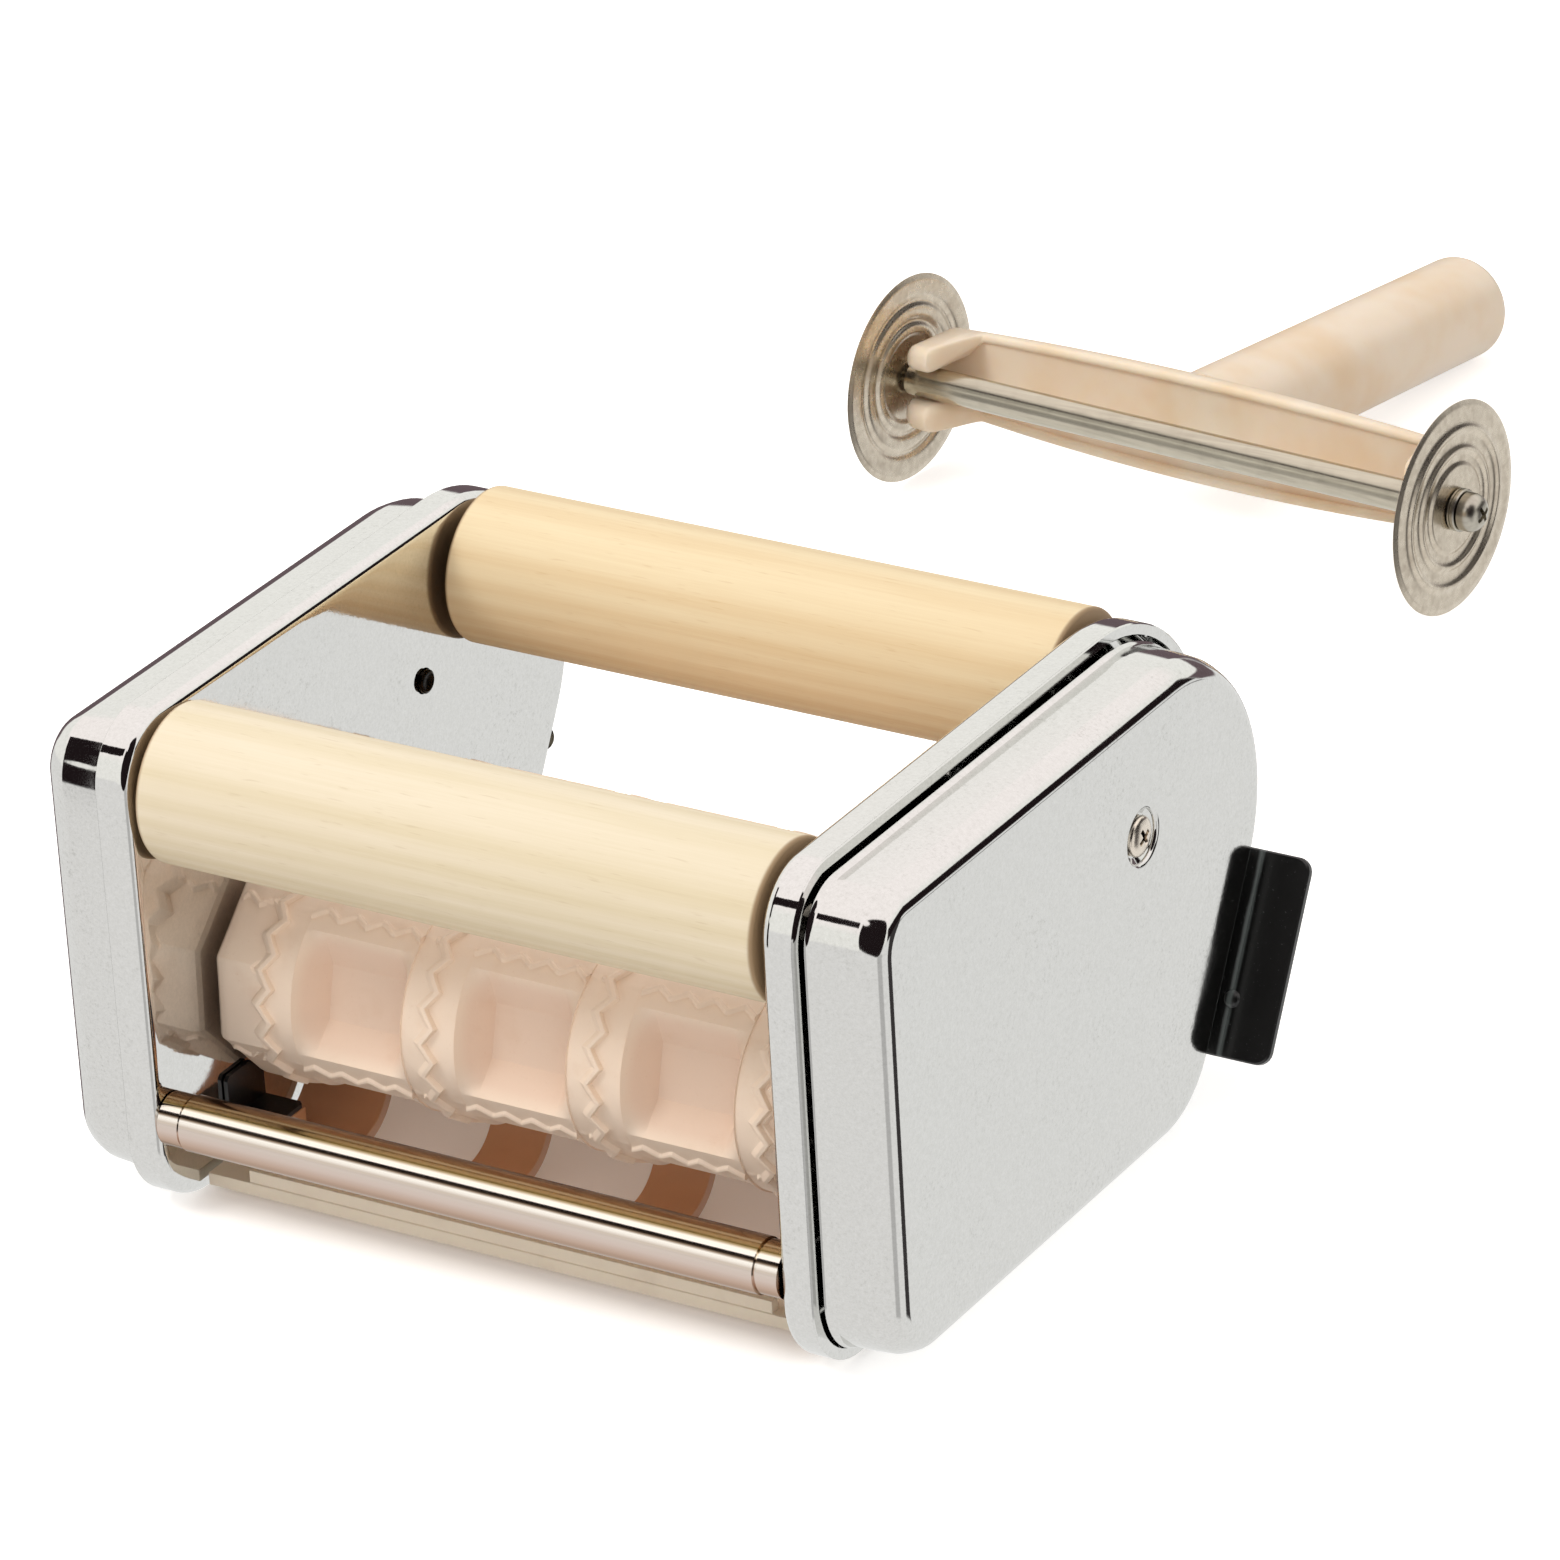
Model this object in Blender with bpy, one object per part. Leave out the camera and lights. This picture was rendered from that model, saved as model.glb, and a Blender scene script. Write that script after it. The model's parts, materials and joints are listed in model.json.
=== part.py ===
"""Ravioli attachment of a hand-cranked pasta machine, with its twin-wheel pastry cutter.

Units are metres. X runs along the rollers, +Y points away from the cook and +Z is up.
The machine is laid out from the middle of its width (X = 0), from the line through its
cover screws (Y = 0) and from the table (Z = 0). At the end everything is moved together,
so that the world's origin lies on the table under the middle of the whole set.
"""

import math
from dataclasses import dataclass

import bmesh
import bpy
import numpy as np
from mathutils import Matrix, Vector

# Clearances
SEAT_GAP = 0.0003
RUN_GAP = 0.0004

# Sheet metal
SHEET = 0.0012
COVER_SHEET = 0.0012
BRACKET_SHEET = 0.0010

# Width: cheeks stand on either side of the rollers, covers close them
ROLLER_LENGTH = 0.150
CHEEK_PLAY = 0.0018
FLANGE_DEPTH = 0.0080
RIM_GAP = 0.0012
COVER_DEPTH = 0.0163

# Side view of the covers (Y forward to back, Z up)
COVER_FRONT_Y = -0.107
COVER_TOP_Z = 0.1105
COVER_BOTTOM_Z = 0.0025
COVER_TOE_RADIUS = 0.016
COVER_BROW_RADIUS = 0.012
COVER_HEEL_RADIUS = 0.025
COVER_EDGE_RADIUS = 0.0055
BACK_ARC_Y = 0.0156
BACK_ARC_RADIUS = 0.039
BACK_SLANT = math.radians(30.0)

# How far the cheeks stand out beyond the covers
CHEEK_FRONT_LIP = 0.0040
CHEEK_TOP_LIP = 0.0045
CHEEK_BACK_LIP = 0.0040
CHEEK_EDGE_RADIUS = 0.0025
CHEEK_TOE_RADIUS = 0.018
CHEEK_BROW_RADIUS = 0.015
CHEEK_HEEL_RADIUS = 0.0275

# Wooden guide rollers
GUIDE_DIAMETER = 0.035
GUIDE_END_ROUND = 0.0022
GUIDE_FRONT_Y = -0.0935
GUIDE_REAR_Y = 0.0249
GUIDE_DROP = 0.013
GUIDE_Z = COVER_TOP_Z - GUIDE_DROP
GUIDE_AXLE_DIAMETER = 0.006
GUIDE_AXLE_HEAD = 0.0085
GUIDE_AXLE_HEAD_HEIGHT = 0.0016

# Mould rollers and their gears
NIP_Y = -0.041
MOULD_Z = 0.0433
MOULD_RADIUS = 0.024
POCKETS_AROUND = 4
POCKETS_ACROSS = 3
POCKET_PITCH = 0.041
POCKET_WIDTH = 0.0275
POCKET_WALL = 0.0040
POCKET_DEPTH = 0.0045
POCKET_FLOOR_LENGTH = 0.0140
POCKET_TURN = math.radians(165.0)
CRIMP_HEIGHT = 0.0009
CRIMP_WIDTH = 0.0020
CRIMP_SWING = 0.00145
STEPS_PER_POCKET = 12

SHAFT_DIAMETER = 0.008
SHAFT_TIP = 0.0018
GEAR_TEETH = 25
GEAR_MODULE = 0.002
GEAR_WIDTH = 0.008
GEAR_BACKLASH = 0.0006
PRESSURE_ANGLE = math.radians(20.0)
BUSH_WALL = 0.0013
BUSH_FLANGE_STEP = 0.0016
BUSH_FLANGE_THICKNESS = 0.0010
CLIP_THICKNESS = 0.0008
CLIP_GROOVE_DEPTH = 0.0009
CLIP_STEP = 0.0022

# Crank socket on the left end of the front mould shaft
SOCKET_DIAMETER = 0.014
SOCKET_BORE = 0.0086
SOCKET_SLOT_WIDTH = 0.0028
SOCKET_SLOT_DEPTH = 0.0050
SOCKET_PORT_PLAY = 0.0010
SOCKET_GRIP = 0.0110

# Cover screws, their bosses and the pressed dimples round them
SCREW_Z = 0.0795
BOSS_DIAMETER = 0.0070
BOSS_SPIGOT_DIAMETER = 0.0054
BOSS_SPIGOT_PROUD = 0.0012
BOSS_THREAD_DEPTH = 0.0120
DIMPLE_DIAMETER = 0.013
DIMPLE_DEPTH = 0.0018
SCREW_HEAD_DIAMETER = 0.009
SCREW_HEAD_HEIGHT = 0.0020
SCREW_SHANK_DIAMETER = 0.0036
SCREW_LENGTH = 0.0100

# Tie tubes
TIE_DIAMETER = 0.012
TIE_WALL = 0.0038
TIE_COLLAR_LENGTH = 0.0055
TIE_COLLAR_STEP = 0.0003
FRONT_TIE_Y = -0.1055
FRONT_TIE_Z = 0.023
REAR_TIE_Y = 0.026
REAR_TIE_Z = 0.0275
TIE_SCREW_DIAMETER = 0.0035
TIE_SCREW_HEAD_DIAMETER = 0.0055
TIE_SCREW_LENGTH = 0.012

# Stripping combs under the mould rollers
COMB_FRONT_Y = -0.096
COMB_STRIP_DEPTH = 0.0100
COMB_BOTTOM_Z = 0.0023
COMB_STRIP_HEIGHT = 0.0029
COMB_LIP_HEIGHT = 0.0029
COMB_LIP_DEPTH = 0.0028
COMB_LIP_INSET = 0.0105
COMB_FINGER_THICKNESS = 0.0025
COMB_FINGER_BEND_Y = -0.068
COMB_FINGER_BEND_RADIUS = 0.011
COMB_FINGER_RISE = math.radians(60.0)
COMB_TIP_GAP = 0.0010
COMB_POST_DEPTH = 0.0080
COMB_POST_WIDTH = 0.0075

# Comb brackets
BRACKET_FRONT_Y = -0.0865
BRACKET_DEPTH = 0.0135
BRACKET_TOP_Z = 0.0235
BRACKET_TAB_CUT = 0.0045
BRACKET_FOOT_Z = 0.0135
BRACKET_FOOT_REACH = 0.0100
BRACKET_FOOT_DEPTH = 0.0075
COMB_PEG_DIAMETER = 0.0036

# Black hook plates on the back flanges, which hang the attachment on the pasta machine
HOOK_THICKNESS = 0.0020
HOOK_LENGTH = 0.0455
HOOK_REACH_X = 0.1120
HOOK_CORNER = 0.0032
HOOK_BEND_X = 0.1002
HOOK_BEND = math.radians(7.0)
HOOK_BEND_WIDTH = 0.0012
HOOK_ROOT_INSET = 0.0012
RIVET_SPREAD = 0.026
RIVET_HEAD_DIAMETER = 0.0060
RIVET_HEAD_HEIGHT = 0.0010
RIVET_SHANK_DIAMETER = 0.0030

# Twin-wheel cutter, standing on the table behind the machine
CUTTER_X = -0.0470
CUTTER_Y = 0.2822
CUTTER_TURN = math.radians(-4.8)
WHEEL_DIAMETER = 0.053
WHEEL_CLEARANCE = 0.0025
WHEEL_SHEET = 0.0009
WHEEL_WAVE = 0.0011
WHEEL_RINGS = 2
WHEEL_RIM_BAND = 0.0075
WHEEL_HUB_RADIUS = 0.0095
CUTTER_ROD_DIAMETER = 0.0080
YOKE_LENGTH = 0.153
YOKE_MIDDLE_HALF_HEIGHT = 0.0134
YOKE_END_HALF_HEIGHT = 0.0106
YOKE_BACK = 0.0138
YOKE_WALL = 0.0023
YOKE_BEVEL = 0.0010
YOKE_WEB = 0.0028
YOKE_PRONG_REACH = 0.0070
YOKE_PRONG_NOSE = 0.0025
YOKE_PRONG_LENGTH = 0.0125
YOKE_NOSE_SHARE = 0.25
YOKE_SHOULDER_SHARE = 0.35
YOKE_MIDDLE_SETBACK = 0.0087
YOKE_END_SETBACK = 0.0106
HANDLE_LENGTH = 0.134
HANDLE_NECK_RADIUS = 0.0137
HANDLE_END_RADIUS = 0.0132
HANDLE_END_ROUND = 0.0050
CUTTER_SCREW_HEAD_DIAMETER = 0.0095
CUTTER_SCREW_HEAD_HEIGHT = 0.0052
CUTTER_SCREW_SHANK = 0.0034
CUTTER_SCREW_LENGTH = 0.0090
WASHER_DIAMETER = 0.0105
WASHER_THICKNESS = 0.0020

# Segments in a full circle
FINE = 30
MEDIUM = 18
SMALL = 14
TINY = 10

# Finishes: colour, roughness, metallic value
CHROME = ((0.62, 0.62, 0.61), 0.16, 1.0)
STEEL = ((0.56, 0.54, 0.50), 0.35, 1.0)
TUBE_STEEL = ((0.50, 0.46, 0.38), 0.28, 1.0)
BLACK_PAINT = ((0.015, 0.015, 0.016), 0.35, 0.0)
BEECH = ((0.80, 0.68, 0.47), 0.55, 0.0)
PEACH_PLASTIC = ((0.70, 0.48, 0.33), 0.45, 0.0)
CREAM_PLASTIC = ((0.83, 0.69, 0.50), 0.40, 0.0)
BRASS = ((0.60, 0.45, 0.20), 0.35, 1.0)
BARE_GEAR = ((0.42, 0.41, 0.40), 0.40, 1.0)

# Places along X that follow from the sizes above
ROLLER_END = ROLLER_LENGTH / 2
CHEEK_INNER = ROLLER_END + CHEEK_PLAY
CHEEK_OUTER = CHEEK_INNER + SHEET
CHEEK_RIM = CHEEK_INNER + FLANGE_DEPTH
COVER_RIM = CHEEK_RIM + RIM_GAP
COVER_FACE = COVER_RIM + COVER_DEPTH
BUSH_FLANGE_X = CHEEK_OUTER + SEAT_GAP
GEAR_X = BUSH_FLANGE_X + BUSH_FLANGE_THICKNESS + SEAT_GAP
GEAR_END_X = GEAR_X + GEAR_WIDTH
MOULD_SPACING = GEAR_TEETH * GEAR_MODULE
FRONT_MOULD_Y = NIP_Y - MOULD_SPACING / 2
REAR_MOULD_Y = NIP_Y + MOULD_SPACING / 2
WHEEL_SPACING = YOKE_LENGTH + 2 * WHEEL_CLEARANCE
SHAFT_RADIUS = SHAFT_DIAMETER / 2

# Turn that stands a bar drawn along X upright
UPRIGHT = Matrix.Rotation(-math.pi / 2, 4, "Y")


@dataclass(frozen=True)
class SideView:
    """Outline of a cheek or a cover: four round corners and a slanted back edge."""

    front: float
    top: float
    bottom: float
    back_radius: float
    toe_radius: float
    brow_radius: float
    heel_radius: float

    def corners(self):
        """Centre, radius, first and last angle of each corner, anticlockwise from the toe."""
        back = (BACK_ARC_Y, self.top - self.back_radius)
        cosine = math.cos(BACK_SLANT)
        sine = math.sin(BACK_SLANT)
        reach = back[0] * cosine - back[1] * sine + self.back_radius
        heel_z = self.bottom + self.heel_radius
        heel_y = (reach - self.heel_radius + heel_z * sine) / cosine
        toe = (self.front + self.toe_radius, self.bottom + self.toe_radius)
        brow = (self.front + self.brow_radius, self.top - self.brow_radius)
        lean = -BACK_SLANT
        quarter = math.pi / 2
        return (
            (toe, self.toe_radius, -2 * quarter, -quarter, 4),
            ((heel_y, heel_z), self.heel_radius, -quarter, lean, 4),
            (back, self.back_radius, lean, quarter, 8),
            (brow, self.brow_radius, quarter, 2 * quarter, 4),
        )

    def ring(self, inset=0.0):
        """Points (y, z) of the outline, drawn in by an inset."""
        points = []
        for (y, z), radius, start, end, steps in self.corners():
            for angle in np.linspace(start, end, steps + 1):
                reach = radius - inset
                points.append((y + reach * math.cos(angle), z + reach * math.sin(angle)))
        return points

    def back_edge_point(self, share):
        """Point on the slanted back edge, from its foot (0) to its top (1)."""
        heel = self.corners()[1]
        back = self.corners()[2]
        normal = Vector((math.cos(BACK_SLANT), -math.sin(BACK_SLANT)))
        foot = Vector(heel[0]) + normal * heel[1]
        top = Vector(back[0]) + normal * back[1]
        return foot.lerp(top, share)


COVER_VIEW = SideView(
    front=COVER_FRONT_Y,
    top=COVER_TOP_Z,
    bottom=COVER_BOTTOM_Z,
    back_radius=BACK_ARC_RADIUS,
    toe_radius=COVER_TOE_RADIUS,
    brow_radius=COVER_BROW_RADIUS,
    heel_radius=COVER_HEEL_RADIUS,
)
CHEEK_VIEW = SideView(
    front=COVER_FRONT_Y - CHEEK_FRONT_LIP,
    top=COVER_TOP_Z + CHEEK_TOP_LIP,
    bottom=0.0,
    back_radius=BACK_ARC_RADIUS + CHEEK_BACK_LIP,
    toe_radius=CHEEK_TOE_RADIUS,
    brow_radius=CHEEK_BROW_RADIUS,
    heel_radius=CHEEK_HEEL_RADIUS,
)


def clear_scene():
    """Remove whatever objects the open scene holds."""
    for item in list(bpy.data.objects):
        bpy.data.objects.remove(item, do_unlink=True)


def new_empty(name, place, parent=None):
    """Empty that carries pieces, for instance on the axis of a joint."""
    empty = bpy.data.objects.new(name, None)
    empty.empty_display_size = 0.01
    empty.location = place
    empty.parent = parent
    bpy.context.scene.collection.objects.link(empty)
    return empty


def new_material(name, finish):
    """Principled material of one piece."""
    colour, roughness, metallic = finish
    material = bpy.data.materials.new(name + "_finish")
    material.use_nodes = True
    shader = material.node_tree.nodes["Principled BSDF"]
    shader.inputs["Base Color"].default_value = (*colour, 1.0)
    shader.inputs["Roughness"].default_value = roughness
    shader.inputs["Metallic"].default_value = metallic
    material.diffuse_color = (*colour, 1.0)
    return material


def mesh_from(points, faces):
    """Closed mesh from points and faces, with its faces turned outwards."""
    mesh = bpy.data.meshes.new("form")
    mesh.from_pydata([tuple(point) for point in points], [], faces)
    shape = bmesh.new()
    shape.from_mesh(mesh)
    bmesh.ops.remove_doubles(shape, verts=shape.verts, dist=1e-7)
    bmesh.ops.recalc_face_normals(shape, faces=shape.faces)
    shape.to_mesh(mesh)
    shape.free()
    return mesh


def rings_to_mesh(rings, closed_path):
    """Skin of equal rings of points: a tube that closes on itself, or one with flat ends."""
    count = len(rings[0])
    points = [point for ring in rings for point in ring]
    faces = []
    pairs = len(rings) if closed_path else len(rings) - 1
    for index in range(pairs):
        near = index * count
        far = ((index + 1) % len(rings)) * count
        for step in range(count):
            following = (step + 1) % count
            faces.append((near + step, near + following, far + following, far + step))
    if not closed_path:
        faces.append(tuple(range(count)))
        faces.append(tuple(range((len(rings) - 1) * count, len(rings) * count)))
    return mesh_from(points, faces)


def lathe(profile, segments, closed_path=False, phase=0.0):
    """Body turned about X. The profile is a list of (x, radius).

    A closed path makes a ring or a tube, an open one a solid bar with flat ends."""
    rings = []
    for x, radius in profile:
        angles = phase + np.arange(segments) * 2 * math.pi / segments
        rings.append([(x, radius * math.cos(a), radius * math.sin(a)) for a in angles])
    return rings_to_mesh(rings, closed_path)


def tube(start, end, inner, outer, segments):
    """Plain tube or washer along X."""
    return lathe([(start, inner), (start, outer), (end, outer), (end, inner)], segments, True)


def bar(start, end, radius, segments):
    """Plain round bar along X."""
    return lathe([(start, radius), (end, radius)], segments)


def slab(outline, start, end, axis="X"):
    """Outline carried along an axis. Its points are (y, z) for X, (x, z) for Y, (x, y) for Z."""
    def lift(point, height):
        first, second = point
        if axis == "X":
            return (height, first, second)
        if axis == "Y":
            return (first, height, second)
        return (first, second, height)

    rings = [[lift(point, height) for point in outline] for height in (start, end)]
    return rings_to_mesh(rings, False)


def box_outline(low, high):
    """Four corners of a rectangle from its lowest and highest corner."""
    return [(low[0], low[1]), (high[0], low[1]), (high[0], high[1]), (low[0], high[1])]


def rounded_outline(corners, radius, steps=3):
    """Polygon with every corner rounded by one radius."""
    rounded = []
    count = len(corners)
    for index in range(count):
        corner = Vector(corners[index])
        before = (Vector(corners[index - 1]) - corner).normalized()
        after = (Vector(corners[(index + 1) % count]) - corner).normalized()
        half = before.angle(after) / 2
        middle = corner + (before + after).normalized() * radius / math.sin(half)
        start = corner + before * radius / math.tan(half) - middle
        end = corner + after * radius / math.tan(half) - middle
        first = math.atan2(start.y, start.x)
        turn = (math.atan2(end.y, end.x) - first + math.pi) % (2 * math.pi) - math.pi
        for step in range(steps + 1):
            angle = first + turn * step / steps
            rounded.append((middle.x + radius * math.cos(angle), middle.y + radius * math.sin(angle)))
    return rounded


def place(name, mesh, finish, parent=None, smooth=True):
    """Named object with its own material, hung on its parent."""
    item = bpy.data.objects.new(name, mesh)
    bpy.context.scene.collection.objects.link(item)
    item.parent = parent
    mesh.materials.clear()
    mesh.materials.append(new_material(name, finish))
    if smooth:
        mesh.shade_smooth()
        mesh.set_sharp_from_angle(angle=math.radians(32.0))
    return item


def moved(mesh, offset=(0.0, 0.0, 0.0), turn=None):
    """The same mesh, turned and then shifted."""
    matrix = Matrix.Translation(offset)
    if turn is not None:
        matrix = matrix @ turn
    mesh.transform(matrix)
    return mesh


def combined(base, tools, operation):
    """Join meshes to a base mesh, or cut them from it, with exact Booleans."""
    current = base
    for tool in tools:
        target = bpy.data.objects.new("target", current)
        cutter = bpy.data.objects.new("cutter", tool)
        bpy.context.scene.collection.objects.link(target)
        bpy.context.scene.collection.objects.link(cutter)
        step = target.modifiers.new("step", "BOOLEAN")
        step.operation = operation
        step.solver = "EXACT"
        step.object = cutter
        bpy.context.view_layer.update()
        graph = bpy.context.evaluated_depsgraph_get()
        result = bpy.data.meshes.new_from_object(target.evaluated_get(graph))
        bpy.data.objects.remove(target)
        bpy.data.objects.remove(cutter)
        result.materials.clear()
        current = result
    return current


def mirrored_x(mesh):
    """Mirror image of a mesh across the middle of the machine, faces still outwards."""
    copy = mesh.copy()
    copy.transform(Matrix.Diagonal((-1.0, 1.0, 1.0, 1.0)))
    copy.flip_normals()
    return copy


def on_side(mesh, side):
    """A mesh drawn for the right side (+1), or its mirror image for the left side (-1)."""
    return mesh if side > 0 else mirrored_x(mesh)


def dish(view, face_x, rim_x, edge_radius, wall):
    """Drawn sheet-metal dish: a flat face, a rounded edge and a skirt that ends at its rim."""
    outward = 1.0 if face_x > rim_x else -1.0
    steps = 2
    rings = []

    def add_ring(x, inset):
        rings.append([(x, y, z) for y, z in view.ring(inset)])

    add_ring(rim_x, 0.0)
    for step in range(steps + 1):
        angle = step / steps * math.pi / 2
        inset = edge_radius * (1 - math.cos(angle))
        add_ring(face_x - outward * edge_radius * (1 - math.sin(angle)), inset)
    outer_count = len(rings)
    inner_radius = edge_radius - wall
    for step in range(steps, -1, -1):
        angle = step / steps * math.pi / 2
        inset = wall + inner_radius * (1 - math.cos(angle))
        depth = wall + inner_radius * (1 - math.sin(angle))
        add_ring(face_x - outward * depth, inset)
    add_ring(rim_x, wall)

    count = len(rings[0])
    faces = []
    for index in range(len(rings)):
        following_ring = (index + 1) % len(rings)
        if index == outer_count - 1:
            continue
        for step in range(count):
            following = (step + 1) % count
            faces.append((
                index * count + step,
                index * count + following,
                following_ring * count + following,
                following_ring * count + step,
            ))
    outer_cap = (outer_count - 1) * count
    inner_cap = outer_count * count
    faces.append(tuple(range(outer_cap, outer_cap + count)))
    faces.append(tuple(range(inner_cap, inner_cap + count)))
    points = [point for ring in rings for point in ring]
    return mesh_from(points, faces)


def hole(start, end, radius, y, z, segments=SMALL):
    """Round bar along X that cuts a hole."""
    return moved(bar(start, end, radius, segments), (0.0, y, z))


def side_plate(side, parent):
    """Cheek: a sheet with its flange turned outwards, and holes for all that it carries."""
    name = "right_side_plate" if side > 0 else "left_side_plate"
    sheet = dish(CHEEK_VIEW, CHEEK_INNER, CHEEK_RIM, CHEEK_EDGE_RADIUS, SHEET)
    start = CHEEK_INNER - SHEET
    end = CHEEK_OUTER + SHEET
    bush_radius = SHAFT_RADIUS + RUN_GAP + BUSH_WALL + SEAT_GAP
    axle_radius = GUIDE_AXLE_DIAMETER / 2 + SEAT_GAP
    tie_radius = TIE_SCREW_DIAMETER / 2 + SEAT_GAP
    spigot_radius = BOSS_SPIGOT_DIAMETER / 2 + SEAT_GAP
    cutters = [
        hole(start, end, bush_radius, FRONT_MOULD_Y, MOULD_Z),
        hole(start, end, bush_radius, REAR_MOULD_Y, MOULD_Z),
        hole(start, end, axle_radius, GUIDE_FRONT_Y, GUIDE_Z),
        hole(start, end, axle_radius, GUIDE_REAR_Y, GUIDE_Z),
        hole(start, end, tie_radius, FRONT_TIE_Y, FRONT_TIE_Z, TINY),
        hole(start, end, tie_radius, REAR_TIE_Y, REAR_TIE_Z, TINY),
        hole(start, end, spigot_radius, 0.0, SCREW_Z, TINY),
    ]
    rivet_radius = RIVET_SHANK_DIAMETER / 2 + SEAT_GAP
    cutters += [rivet_drill(way, rivet_radius, -2 * SHEET, SHEET) for way in (1, -1)]
    cut = combined(sheet, cutters, "DIFFERENCE")
    return place(name, on_side(cut, side), CHROME, parent)


def dimple_cup():
    """Pressed dimple round a cover screw, with the screw's hole in its floor."""
    rim = DIMPLE_DIAMETER / 2
    seat = SCREW_HEAD_DIAMETER / 2 + SEAT_GAP * 2
    bore = SCREW_SHANK_DIAMETER / 2 + SEAT_GAP
    outer = COVER_FACE - COVER_SHEET * 0.15
    inner = COVER_FACE - COVER_SHEET * 0.85
    floor = COVER_FACE - DIMPLE_DEPTH
    under = floor - COVER_SHEET
    lap = COVER_SHEET * 0.4
    profile = [
        (outer, rim + lap), (outer, rim - lap), (floor, seat), (floor, bore),
        (under, bore), (under, seat + lap), (inner, rim + lap),
    ]
    return lathe(profile, SMALL, True)


def outer_cover(side, parent):
    """Deep-drawn cover with a dimpled screw hole; the left one has the crank's port too."""
    name = "right_cover" if side > 0 else "left_cover"
    shell = dish(COVER_VIEW, COVER_FACE, COVER_RIM, COVER_EDGE_RADIUS, COVER_SHEET)
    start = COVER_FACE - 3 * COVER_SHEET
    end = COVER_FACE + COVER_SHEET
    cutters = [hole(start, end, DIMPLE_DIAMETER / 2, 0.0, SCREW_Z)]
    if side < 0:
        port = SOCKET_DIAMETER / 2 + SOCKET_PORT_PLAY
        cutters.append(hole(start, end, port, FRONT_MOULD_Y, MOULD_Z, MEDIUM))
    shell = combined(shell, cutters, "DIFFERENCE")
    cup = moved(dimple_cup(), (0.0, 0.0, SCREW_Z))
    shell = combined(shell, [cup], "UNION")
    return place(name, on_side(shell, side), CHROME, parent)


def cover_boss(side, parent):
    """Threaded boss riveted to the cheek; the cover's dimple rests on its end."""
    name = "right_cover_boss" if side > 0 else "left_cover_boss"
    inner_end = CHEEK_INNER - BOSS_SPIGOT_PROUD
    shoulder = CHEEK_OUTER + SEAT_GAP
    outer_end = COVER_FACE - DIMPLE_DEPTH - COVER_SHEET - SEAT_GAP
    thread = SCREW_SHANK_DIAMETER / 2 + SEAT_GAP
    bottom = outer_end - BOSS_THREAD_DEPTH
    spigot = BOSS_SPIGOT_DIAMETER / 2
    profile = [
        (inner_end, spigot - SEAT_GAP), (inner_end + SEAT_GAP, spigot), (shoulder, spigot),
        (shoulder, BOSS_DIAMETER / 2), (outer_end, BOSS_DIAMETER / 2), (outer_end, thread),
        (bottom, thread),
    ]
    mesh = moved(lathe(profile, TINY), (0.0, 0.0, SCREW_Z))
    return place(name, on_side(mesh, side), STEEL, parent)


def cover_screw(side, parent):
    """Round-headed screw that holds a cover to its boss."""
    name = "right_cover_screw" if side > 0 else "left_cover_screw"
    seat = COVER_FACE - DIMPLE_DEPTH + SEAT_GAP
    head = SCREW_HEAD_DIAMETER / 2
    shank = SCREW_SHANK_DIAMETER / 2
    crown = seat + SCREW_HEAD_HEIGHT
    profile = [
        (seat - SCREW_LENGTH, shank), (seat, shank), (seat, head),
        (seat + SCREW_HEAD_HEIGHT * 0.45, head), (seat + SCREW_HEAD_HEIGHT * 0.8, head * 0.8),
        (crown, head * 0.45),
    ]
    mesh = moved(lathe(profile, SMALL), (0.0, 0.0, SCREW_Z))
    return place(name, on_side(mesh, side), STEEL, parent)


def guide_roller(name, parent):
    """Turned wooden roller with rounded ends and a through bore for its axle."""
    outer = GUIDE_DIAMETER / 2
    bore = GUIDE_AXLE_DIAMETER / 2 + RUN_GAP
    profile = [(-ROLLER_END, bore)] + end_round(outer, GUIDE_END_ROUND) + [(ROLLER_END, bore)]
    return place(name, lathe(profile, FINE, True), BEECH, parent)


def end_round(outer, rounding, steps=2):
    """Profile from one rounded end of a roller to the other."""
    left = []
    for step in range(steps + 1):
        angle = step / steps * math.pi / 2
        x = -ROLLER_END + rounding * (1 - math.cos(angle))
        left.append((x, outer - rounding * (1 - math.sin(angle))))
    right = [(-x, radius) for x, radius in reversed(left)]
    return left + right


def guide_axle(name, y, parent):
    """Fixed steel axle of a wooden roller, peened over outside both cheeks."""
    radius = GUIDE_AXLE_DIAMETER / 2
    head = GUIDE_AXLE_HEAD / 2
    seat = CHEEK_OUTER + SEAT_GAP
    tip = seat + GUIDE_AXLE_HEAD_HEIGHT
    half = [(seat, radius), (seat, head), (tip, head * 0.7)]
    profile = [(-x, r) for x, r in reversed(half)] + half
    mesh = moved(lathe(profile, SMALL), (0.0, y, GUIDE_Z))
    return place(name, mesh, STEEL, parent)


def clip_ring(x, axle_radius, outer_radius):
    """Retaining ring that sits in a groove."""
    inner = axle_radius - CLIP_GROOVE_DEPTH + SEAT_GAP
    return tube(x, x + CLIP_THICKNESS, inner, outer_radius, TINY)


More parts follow.
